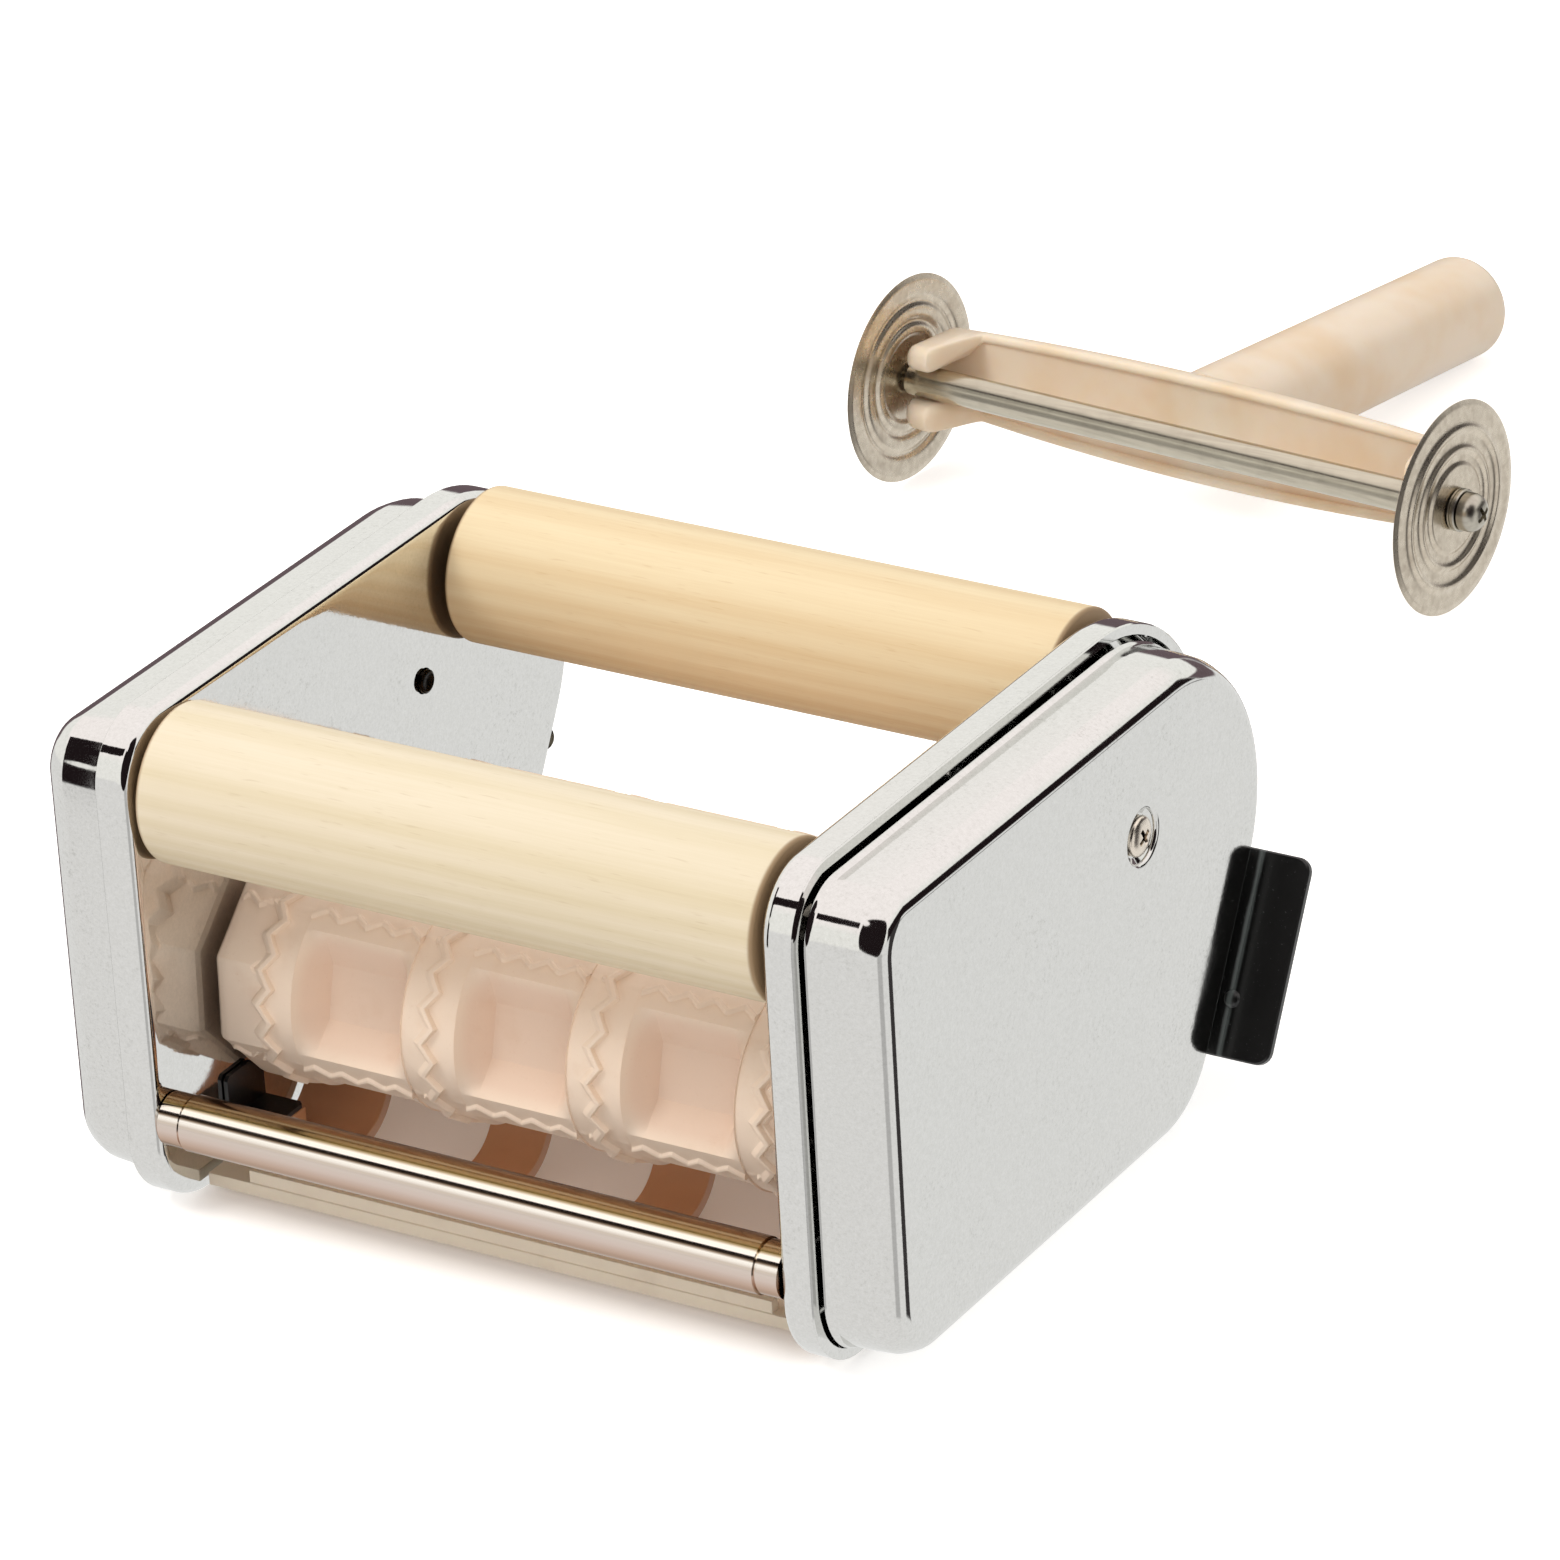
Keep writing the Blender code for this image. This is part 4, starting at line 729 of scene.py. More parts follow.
@dataclass(frozen=True)
class BlackPaint(Finish):
    """Black stoving paint on sheet steel: dust, light scuffs and a painted highlight along the line
    where a plate bends.
    """

    tint: Colour = linear("0d0d0d")
    scuff: Colour = linear("5a5a5a")
    # Grey of the painted highlight along the bend.
    wear_and_sheen: Colour = linear("6a706e")
    roughness: float = 0.28
    centre: Point = (0.0, 0.0, 0.0)
    crease: float = 0.1008
    dust_scale: float = 1800.0
    cloud_scale: float = 120.0
    peel_scale: float = 700.0
    relief: float = 0.00004
    settings: ClassVar[Links] = {"Coat Weight": 0.35, "Coat Roughness": 0.15}

    def links(self, graph: Graph) -> Links:
        """Dust, scuffs, and a painted highlight along the line at the crease's distance from the
        middle.

        Args:
            graph: The material's graph.

        Returns:
            Links to the shader's inputs.
        """
        where = graph.place()
        dust = graph.noise(where, self.dust_scale, 1.0, 0.5).step(0.70, 0.78)
        cloud = graph.noise(where, self.cloud_scale, 3.0, 0.6)
        across, _, _ = graph.split(graph.place(self.centre))
        off_crease = (across.size() - self.crease).size() + (cloud - 0.5) * 0.0008
        paint = graph.mix(dust * 0.7 + cloud.step(0.6, 0.9) * 0.06, self.tint, self.scuff)
        return {
            # The grey line along the bend is a painted highlight.
            "Base Color": graph.mix(off_crease.step(0.0009, 0.0002) * 0.75, paint, self.wear_and_sheen),
            "Roughness": self.roughness + cloud * 0.16,
            "Normal": graph.bump(graph.noise(where, self.peel_scale, 2.0), self.relief, 0.25),
        }


@dataclass(frozen=True)
class CreamPlastic(Finish):
    """Cream moulded plastic of the pastry cutter, with warmer patches and small stains."""

    tint: Colour = linear("ecdac4")
    warm: Colour = linear("e6caa8")
    stain: Colour = linear("d8b48c")
    cloud_scale: float = 35.0
    grit_scale: float = 900.0
    relief: float = 0.00003
    settings: ClassVar[Links] = {
        "Subsurface Weight": 0.25, "Subsurface Radius": (0.006, 0.004, 0.002),
        "Subsurface Scale": 1.0, "Coat Weight": 0.08}

    def links(self, graph: Graph) -> Links:
        """Warm patches under a fine grit.

        Args:
            graph: The material's graph.

        Returns:
            Links to the shader's inputs.
        """
        cloud = graph.noise(graph.place(), self.cloud_scale, 3.0, 0.6)
        grit = graph.noise(graph.place(), self.grit_scale, 2.0, 0.5)
        colour = graph.mix(cloud.step(0.35, 0.75), self.tint, self.warm)
        return {
            "Base Color": graph.mix(grit.step(0.62, 0.82) * 0.12, colour, self.stain),
            "Roughness": 0.33 + cloud * 0.14,
            "Normal": graph.bump(grit, self.relief, 0.35),
        }


# Pieces


@dataclass(frozen=True)
class Layout:
    """Sizes that several pieces share, in the machine's coordinates."""

    roller_end: float = 0.0750
    cheek_inner: float = 0.0768
    cheek_rim: float = 0.0848
    sheet: float = 0.0012
    cover_face: float = 0.1023
    screw_z: float = 0.0795
    guide_front_y: float = -0.0935
    guide_rear_y: float = 0.0249
    guide_z: float = 0.0975
    nip_y: float = -0.0410
    mould_reach: float = 0.0250
    mould_z: float = 0.0433
    front_tie: tuple[float, float] = (-0.1055, 0.0230)
    rear_tie: tuple[float, float] = (0.0260, 0.0275)
    slant: float = math.radians(30.0)
    gap: float = 0.0003
    pitch: float = 0.0410

    @property
    def shift(self) -> Vector:
        """Way from the machine's coordinates to the frame, read from the front wooden roller.

        Returns:
            The way.
        """
        low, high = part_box("front_guide_roller")
        middle = (low + high) / 2
        return Vector((middle.x, middle.y - self.guide_front_y, middle.z - self.guide_z))

    @property
    def front_mould_y(self) -> float:
        """Y of the front mould roller's axis."""
        return self.nip_y - self.mould_reach

    @property
    def rear_mould_y(self) -> float:
        """Y of the rear mould roller's axis."""
        return self.nip_y + self.mould_reach

    def at(self, x: float, y: float, z: float) -> Point:
        """A point of the machine, in the frame."""
        return tuple(self.shift + Vector((x, y, z)))


LAYOUT = Layout()
SIDES = ((1, "right"), (-1, "left"))


def to_mesh(name: str, shape: Shape, in_frame: bool = False) -> Mesh:
    """Mesh of a shape, moved to the frame, merged and with its faces turned outwards.

    Args:
        name: The mesh's name.
        shape: The surface in machine coordinates.
        in_frame: True where the surface is in the frame's coordinates already.

    Returns:
        The mesh.
    """
    mesh = bpy.data.meshes.new(name)
    shift = np.zeros(3) if in_frame else np.array(LAYOUT.shift)
    mesh.from_pydata((shape.points + shift).tolist(), [], shape.faces)
    work = bmesh.new()
    work.from_mesh(mesh)
    bmesh.ops.remove_doubles(work, verts=work.verts, dist=1e-7)
    bmesh.ops.recalc_face_normals(work, faces=work.faces)
    work.to_mesh(mesh)
    work.free()
    return mesh


class Joint(Enum):
    """What an exact Boolean does with a tool."""

    CUT = "DIFFERENCE"
    FUSE = "UNION"


def carve(mesh: Mesh, tools: list[Mesh], joint: Joint = Joint.CUT) -> Mesh:
    """Cut meshes from a mesh, or fuse them to it, with exact Booleans.

    Args:
        mesh: What is cut or added to.
        tools: The other meshes.
        joint: Whether they are cut off or fused on.

    Returns:
        The result as a new mesh.
    """
    current = mesh
    for tool in tools:
        target = bpy.data.objects.new("target", current)
        cutter = bpy.data.objects.new("cutter", tool)
        for item in (target, cutter):
            bpy.context.scene.collection.objects.link(item)
        step = target.modifiers.new("step", "BOOLEAN")
        step.operation = joint.value
        step.solver = "EXACT"
        step.object = cutter
        bpy.context.view_layer.update()
        graph = bpy.context.evaluated_depsgraph_get()
        current = bpy.data.meshes.new_from_object(target.evaluated_get(graph))
        bpy.data.objects.remove(target)
        bpy.data.objects.remove(cutter)
    current.materials.clear()
    return current


@dataclass(frozen=True)
class Edge:
    """How a piece's edges are eased: width of a bevel and the angle that counts as an edge."""

    width: float = 0.0
    steps: int = 2
    angle: float = math.radians(32.0)


def add_piece(name: str, mesh: Mesh, material: Material, body: str,
              nodes: tuple[str, ...], edge: Edge = Edge()) -> None:
    """Piece of the object: links it, smooths it, dresses it and lets it ride on its body.

    Args:
        name: The piece's name.
        mesh: Its mesh, already in the frame.
        material: Its finish.
        body: The CAD body it moves with.
        nodes: CAD nodes that it stands for, if any.
        edge: How its edges are eased.
    """
    mesh.name = name
    mesh.materials.clear()
    mesh.materials.append(material)
    mesh.shade_smooth()
    mesh.set_sharp_from_angle(angle=edge.angle)
    item = bpy.data.objects.new(name, mesh)
    bpy.context.scene.collection.objects.link(item)
    if edge.width:
        bevel = item.modifiers.new("eased", "BEVEL")
        bevel.width = edge.width
        bevel.segments = edge.steps
        bevel.limit_method = "ANGLE"
        bevel.angle_limit = edge.angle
        bevel.use_clamp_overlap = True
    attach(item, body)
    if nodes:
        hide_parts(*nodes)
    log.info("%s: %d faces, rides on %s", name, len(mesh.polygons), body)


def hole(ends: list[float], radius: float, y: float, z: float, segments: int = 40) -> Mesh:
    """Round bar along X that cuts a hole."""
    bar = lathe([(x, radius) for x in ends], segments)
    return to_mesh("hole", bar.moved(0.0, y, z))


@dataclass(frozen=True)
class Screw:
    """Cross-slotted screw along X: head radius and height, side's share of the height, crown's
    power, last angle and steps, shank (length, radius) and recess (arm width, reach, depth)."""

    head: float
    height: float
    side_share: float
    power: float
    last: float
    steps: int
    shank: tuple[float, float]
    recess: Point
    recess_floor: float = 0.45
    recess_above: float = 0.002
    recess_turn: float = math.radians(28.0)
    ease: float = 0.0002

    def turned(self, seat: float) -> Shape:
        """Flat seat, short side and a crown of radius r cos(a)^power at height h sin a.

        Args:
            seat: X of the head's seat.

        Returns:
            The screw without its recess.
        """
        length, radius = self.shank
        path = [(seat - length, radius), (seat, radius), (seat, self.head - self.ease),
                (seat + self.ease, self.head)]
        for angle in arc(0.0, math.radians(self.last), self.steps):
            rise = self.side_share + (1 - self.side_share) * math.sin(angle)
            path.append((seat + self.height * rise, self.head * math.cos(angle) ** self.power))
        return lathe(path, 56)

    def cross(self, top: float, side: int) -> Shape:
        """Recess as one star-shaped prism that narrows downwards.

        Args:
            top: X of the head's top.
            side: +1 on the right, -1 on the left.

        Returns:
            The cutting body.
        """
        width, length, depth = self.recess
        half, reach = width / 2, length / 2
        star = np.array([(half, half), (half, reach), (-half, reach), (-half, half), (-reach, half),
                         (-reach, -half), (-half, -half), (-half, -reach), (half, -reach),
                         (half, -half), (reach, -half), (reach, half)])
        sine, cosine = math.sin(self.recess_turn), math.cos(self.recess_turn)
        star = star @ np.array([[cosine, sine], [-sine, cosine]])
        ends = ((top - side * depth, self.recess_floor), (top + side * self.recess_above, 1.0))
        rings = [np.column_stack([np.full(len(star), x), star * scale]) for x, scale in ends]
        return skin(np.stack(rings))

    def mesh(self, seat: float, side: int, place: Matrix) -> Mesh:
        """The screw with its recess cut.

        Args:
            seat: X of the head's seat.
            side: +1 on the right, -1 on the left.
            place: Matrix that takes the X axis to the screw's.

        Returns:
            The mesh.
        """
        slot = self.cross(side * (seat + self.height), side)
        return carve(to_mesh("screw", self.turned(seat).on_side(side).placed(place)),
                     [to_mesh("slot", slot.placed(place))])


@dataclass(frozen=True)
class SideView:
    """Outline of a cheek or a cover: four round corners and a slanted back edge."""

    front: float
    top: float
    bottom: float
    back_radius: float
    toe_radius: float
    brow_radius: float
    heel_radius: float
    back_y: float = 0.0156

    def corners(self) -> list[tuple[float, float, float, float, float, int]]:
        """Centre y and z, radius, first and last angle and steps of each corner.

        Returns:
            One row for each corner.
        """
        cosine, sine = math.cos(LAYOUT.slant), math.sin(LAYOUT.slant)
        back_z = self.top - self.back_radius
        reach = self.back_y * cosine - back_z * sine + self.back_radius
        heel_z = self.bottom + self.heel_radius
        heel_y = (reach - self.heel_radius + heel_z * sine) / cosine
        quarter = math.pi / 2
        return [
            (self.front + self.toe_radius, self.bottom + self.toe_radius, self.toe_radius,
             -2 * quarter, -quarter, 12),
            (heel_y, heel_z, self.heel_radius, -quarter, -LAYOUT.slant, 12),
            (self.back_y, back_z, self.back_radius, -LAYOUT.slant, quarter, 30),
            (self.front + self.brow_radius, self.top - self.brow_radius, self.brow_radius,
             quarter, 2 * quarter, 12),
        ]

    def ring(self, x: float, inset: float) -> np.ndarray:
        """Outline at a place along X, drawn in: centre + (radius - inset)(cos a, sin a).

        Args:
            x: Place along X.
            inset: How far it is drawn in.

        Returns:
            Array of points.
        """
        made = []
        for y, z, radius, start, end, steps in self.corners():
            angle = arc(start, end, steps)
            reach = radius - inset
            made.append(np.stack([np.full(steps + 1, x), y + reach * np.cos(angle),
                                  z + reach * np.sin(angle)], -1))
        return np.concatenate(made)

    def back_middle(self) -> tuple[float, float]:
        """Y and Z of the middle of the slanted back edge.

        Returns:
            Y and Z.
        """
        heel, back = self.corners()[1:3]
        cosine, sine = math.cos(LAYOUT.slant), math.sin(LAYOUT.slant)
        y = (heel[0] + heel[2] * cosine + back[0] + back[2] * cosine) / 2
        z = (heel[1] - heel[2] * sine + back[1] - back[2] * sine) / 2
        return y, z


COVER_VIEW = SideView(front=-0.107, top=0.1105, bottom=0.0025, back_radius=0.039,
                      toe_radius=0.016, brow_radius=0.012, heel_radius=0.025)
CHEEK_VIEW = SideView(front=-0.111, top=0.1150, bottom=0.0000, back_radius=0.043,
                      toe_radius=0.018, brow_radius=0.015, heel_radius=0.0275)


def round_edge(radius: float, steps: int) -> Profile:
    """Quarter round in rows (depth behind the face, inset, turn): r(1 - sin a), r(1 - cos a), a."""
    return [(radius * (1 - math.sin(a)), radius * (1 - math.cos(a)), a)
            for a in arc(0.0, math.pi / 2, steps)]


def drawn_edge(land: float, first: float, second: float, radius: float, steps: int) -> Profile:
    """Edge of a drawn cover: a crease, a slanted band that turns slowly, then a tight round.

    Args:
        land: Length of the slanted band.
        first: Its turn at the crease.
        second: Its turn where the tight round starts.
        radius: Radius of the tight round.
        steps: Steps in the tight round.

    Returns:
        Rows (depth, inset, turn), summed up step by step from the skirt: a step of length l at
        turn a goes l cos a towards the face and l sin a inwards.
    """
    turns = list(arc(first, second, 6)) + list(arc(second, math.pi / 2, steps))[1:]
    lengths = [land / 6] * 6 + [radius * (math.pi / 2 - second) / steps] * steps
    forward, inset = [0.0], [0.0]
    for index, length in enumerate(lengths):
        middle = (turns[index] + turns[index + 1]) / 2
        forward.append(forward[-1] + length * math.cos(middle))
        inset.append(inset[-1] + length * math.sin(middle))
    return [(forward[-1] - f, i, a) for f, i, a in zip(forward, inset, turns)]


@dataclass
class Dish:
    """Drawn sheet dish: flat face, rounded edge, slightly tapered skirt and a rim."""

    view: SideView
    face_x: float
    rim_x: float
    edge: Profile
    taper: float = 0.0
    flare: float = 0.0
    flare_length: float = 0.0020
    lip: float = 0.0
    face_margin: float = 0.0015

    def shape(self) -> Shape:
        """Skin of inset outlines: outer skirt, outer edge, face, then the same inside.

        The skirt's inset grows as taper times s squared, s being the way from rim to edge, and
        a flared rim adds -flare (1 - t)^2 over the flare's length. The inside lies one sheet
        further in, along the edge's normal (sin a, cos a).

        Returns:
            The dish, on the right.
        """
        wall = LAYOUT.sheet
        way = 1.0 if self.face_x > self.rim_x else -1.0
        ease = wall * 0.25
        start = self.face_x - way * self.edge[0][0]
        skirt = []
        for share in (0.0, 0.02, 0.05, 0.1, 0.15, 0.25, 0.4, 0.6, 0.8, 0.96):
            x = self.rim_x + (start - self.rim_x) * share
            spread = max(1.0 - abs(x - self.rim_x) / self.flare_length, 0.0) ** 2
            skirt.append((x, self.taper * share * share - self.flare * spread))
        path = [(self.rim_x, skirt[0][1] + ease), (self.rim_x + way * ease, skirt[0][1])]
        path += skirt[2:]
        path += [(self.face_x - way * depth, self.taper + inset) for depth, inset, _ in self.edge]
        last = self.taper + self.edge[-1][1] + self.face_margin
        path.append((self.face_x, last))
        outer = len(path)
        path.append((self.face_x - way * wall, last))
        for depth, inset, turn in reversed(self.edge):
            path.append((self.face_x - way * (depth + wall * math.sin(turn)),
                         self.taper + inset + wall * math.cos(turn)))
        path += [(x, inset + wall) for x, inset in reversed(skirt[2:])]
        if self.lip:
            path += [(self.rim_x + way * wall, wall), (self.rim_x + way * wall, self.lip),
                     (self.rim_x + way * ease, self.lip), (self.rim_x, self.lip - ease)]
        else:
            path.append((self.rim_x, skirt[0][1] + wall - ease))
        rings = np.stack([self.view.ring(x, inset) for x, inset in path])
        count = rings.shape[1]
        made = skin(rings, True)
        near = range((outer - 1) * count, outer * count)
        far = range(outer * count, (outer + 1) * count)
        ends, starts = set(near), set(far)
        faces = [f for f in made.faces if not (ends & set(f) and starts & set(f))]
        faces += [tuple(near), tuple(reversed(far))]
        return Shape(made.points, faces)


@dataclass
class Cheeks:
    """The two sheet cheeks that carry everything, their flanges turned outwards."""

    edge_radius: float = 0.0025
    lip: float = 0.0028
    bush_hole: float = 0.0060
    axle_hole: float = 0.0033
    tie_hole: float = 0.00205
    boss_hole: float = 0.0030

    def build(self, finish: Material) -> None:
        """Make both cheeks.

        Args:
            finish: Chromed sheet.
        """
        lay = LAYOUT
        low, high = lay.cheek_inner - 0.002, lay.cheek_inner + 0.004
        spots = [
            (self.bush_hole, lay.front_mould_y, lay.mould_z),
            (self.bush_hole, lay.rear_mould_y, lay.mould_z),
            (self.axle_hole, lay.guide_front_y, lay.guide_z),
            (self.axle_hole, lay.guide_rear_y, lay.guide_z),
            (self.tie_hole, *lay.front_tie),
            (self.tie_hole, *lay.rear_tie),
            (self.boss_hole, 0.0, lay.screw_z),
        ]
        edge = round_edge(self.edge_radius, 8)
        dish = Dish(CHEEK_VIEW, lay.cheek_inner, lay.cheek_rim, edge, lip=self.lip).shape()
        for side, word in SIDES:
            mesh = to_mesh("cheek", dish.on_side(side))
            ends = sorted((side * low, side * high))
            tools = [hole(ends, radius, y, z) for radius, y, z in spots]
            add_piece(f"{word}_cheek", carve(mesh, tools), finish, "frame",
                      (f"{word}_side_plate",))


@dataclass
class Covers:
    """The two drawn covers, their pressed screw dimples, cross-slotted screws and bosses."""

    rim_x: float = 0.0852
    band: float = 0.0037
    band_start: float = math.radians(18.0)
    band_end: float = math.radians(30.0)
    edge_radius: float = 0.0044
    taper: float = 0.0006
    flare: float = 0.0007
    dimple_radius: float = 0.0065
    dimple_depth: float = 0.0018
    dimple_lip: float = 0.0016
    shoulder: float = 0.0011
    proud: float = 0.00012
    port_radius: float = 0.0080
    shank_bore: float = 0.0021
    screw: Screw = Screw(head=0.0045, height=0.0020, side_share=0.35, power=0.75, last=82.0, steps=10,
                         shank=(0.010, 0.0018), recess=(0.0016, 0.0064, 0.0014))
    boss_length: float = 0.011
    boss_radius: float = 0.0035
    boss_neck: float = 0.0027
    boss_bore: float = 0.0022

    def dimple(self) -> Shape:
        """Ring turned about the screw: a rolled shoulder at the face that dips to a flat seat.

        Returns:
            The ring.
        """
        face, head = LAYOUT.cover_face, self.screw.head
        floor = face - self.dimple_depth
        under = floor - LAYOUT.sheet
        rim = self.dimple_radius + self.dimple_lip
        path = [(face - 0.0001, rim)]
        for angle in arc(0.0, math.pi / 2, 6):
            path.append((face + self.proud - self.shoulder * (1 - math.cos(angle)),
                         self.dimple_radius + 0.0006 - self.shoulder * math.sin(angle)))
        path += [(floor + 0.0003, head + 0.0008), (floor, head + 0.0004), (floor, self.shank_bore),
                 (under, self.shank_bore), (under, head + self.dimple_lip),
                 (face - self.shoulder, rim)]
        return lathe(path, 72, True)

    def boss(self) -> Shape:
        """Threaded boss behind the dimple, with a flared end riveted in the cheek.

        Returns:
            The boss.
        """
        inner = LAYOUT.cheek_inner
        end = LAYOUT.cover_face - self.dimple_depth - LAYOUT.sheet - LAYOUT.gap
        path = [(inner - 0.0004, 0.0006), (inner - 0.0009, 0.0019), (inner - 0.0012, self.boss_bore),
                (inner - 0.0009, self.boss_neck), (inner + 0.0015, self.boss_neck),
                (inner + 0.0015, self.boss_radius), (end, self.boss_radius), (end, self.boss_bore),
                (end - self.boss_length, self.boss_bore)]
        return lathe(path, 40)

    def build(self, chrome: Material, steel: Material) -> None:
        """Make covers, dimples, screws and bosses.

        Args:
            chrome: Finish of the sheet.
            steel: Finish of the screws and bosses.
        """
        lay = LAYOUT
        edge = drawn_edge(self.band, self.band_start, self.band_end, self.edge_radius, 12)
        dish = Dish(COVER_VIEW, lay.cover_face, self.rim_x, edge, self.taper, self.flare).shape()
        seat = lay.cover_face - self.dimple_depth + lay.gap
        for side, word in SIDES:
            ends = sorted((side * (lay.cover_face - 0.004), side * (lay.cover_face + 0.002)))
            tools = [hole(ends, self.dimple_radius + 0.0008, 0.0, lay.screw_z)]
            if side < 0:
                tools.append(hole(ends, self.port_radius, lay.front_mould_y, lay.mould_z, 48))
            mesh = carve(to_mesh("cover", dish.on_side(side)), tools)
            add_piece(f"{word}_drawn_cover", mesh, chrome, "frame", (f"{word}_cover",))
            cup = to_mesh("cup", self.dimple().moved(z=lay.screw_z).on_side(side))
            add_piece(f"{word}_cover_dimple", cup, chrome, "frame", ())
            place = Matrix.Translation((0.0, 0.0, lay.screw_z))
            add_piece(f"{word}_cross_screw", self.screw.mesh(seat, side, place), steel, "frame",
                      (f"{word}_cover_screw",))
            stud = to_mesh("boss", self.boss().moved(z=lay.screw_z).on_side(side))
            add_piece(f"{word}_screw_boss", stud, steel, "frame", (f"{word}_cover_boss",))


@dataclass
class GuideRollers:
    """The two wooden rollers that lead the dough in."""

    radius: float = 0.0175
    rounding: float = 0.0009
    bore: float = 0.0034

    def build(self, front: Material, rear: Material) -> None:
        """Make both rollers.

        Args:
            front: Wood of the front roller.
            rear: Wood of the rear roller.
        """
        end = LAYOUT.roller_end
        left = [(-end, self.bore), (-end, self.radius - self.rounding - 0.002)]
        for angle in arc(0.0, math.pi / 2, 7):
            left.append((-end + self.rounding * (1 - math.cos(angle)),
                         self.radius - self.rounding * (1 - math.sin(angle))))
        left.append((-end + self.rounding + 0.002, self.radius))
        path = left + [(-x, r) for x, r in reversed(left)]
        for word, y, wood in (("front", LAYOUT.guide_front_y, front),
                              ("rear", LAYOUT.guide_rear_y, rear)):
            shape = lathe(path, 96, True).moved(0.0, y, LAYOUT.guide_z)
            add_piece(f"{word}_wooden_roller", to_mesh("roller", shape), wood, f"{word}_guide",
                      (f"{word}_guide_roller",))


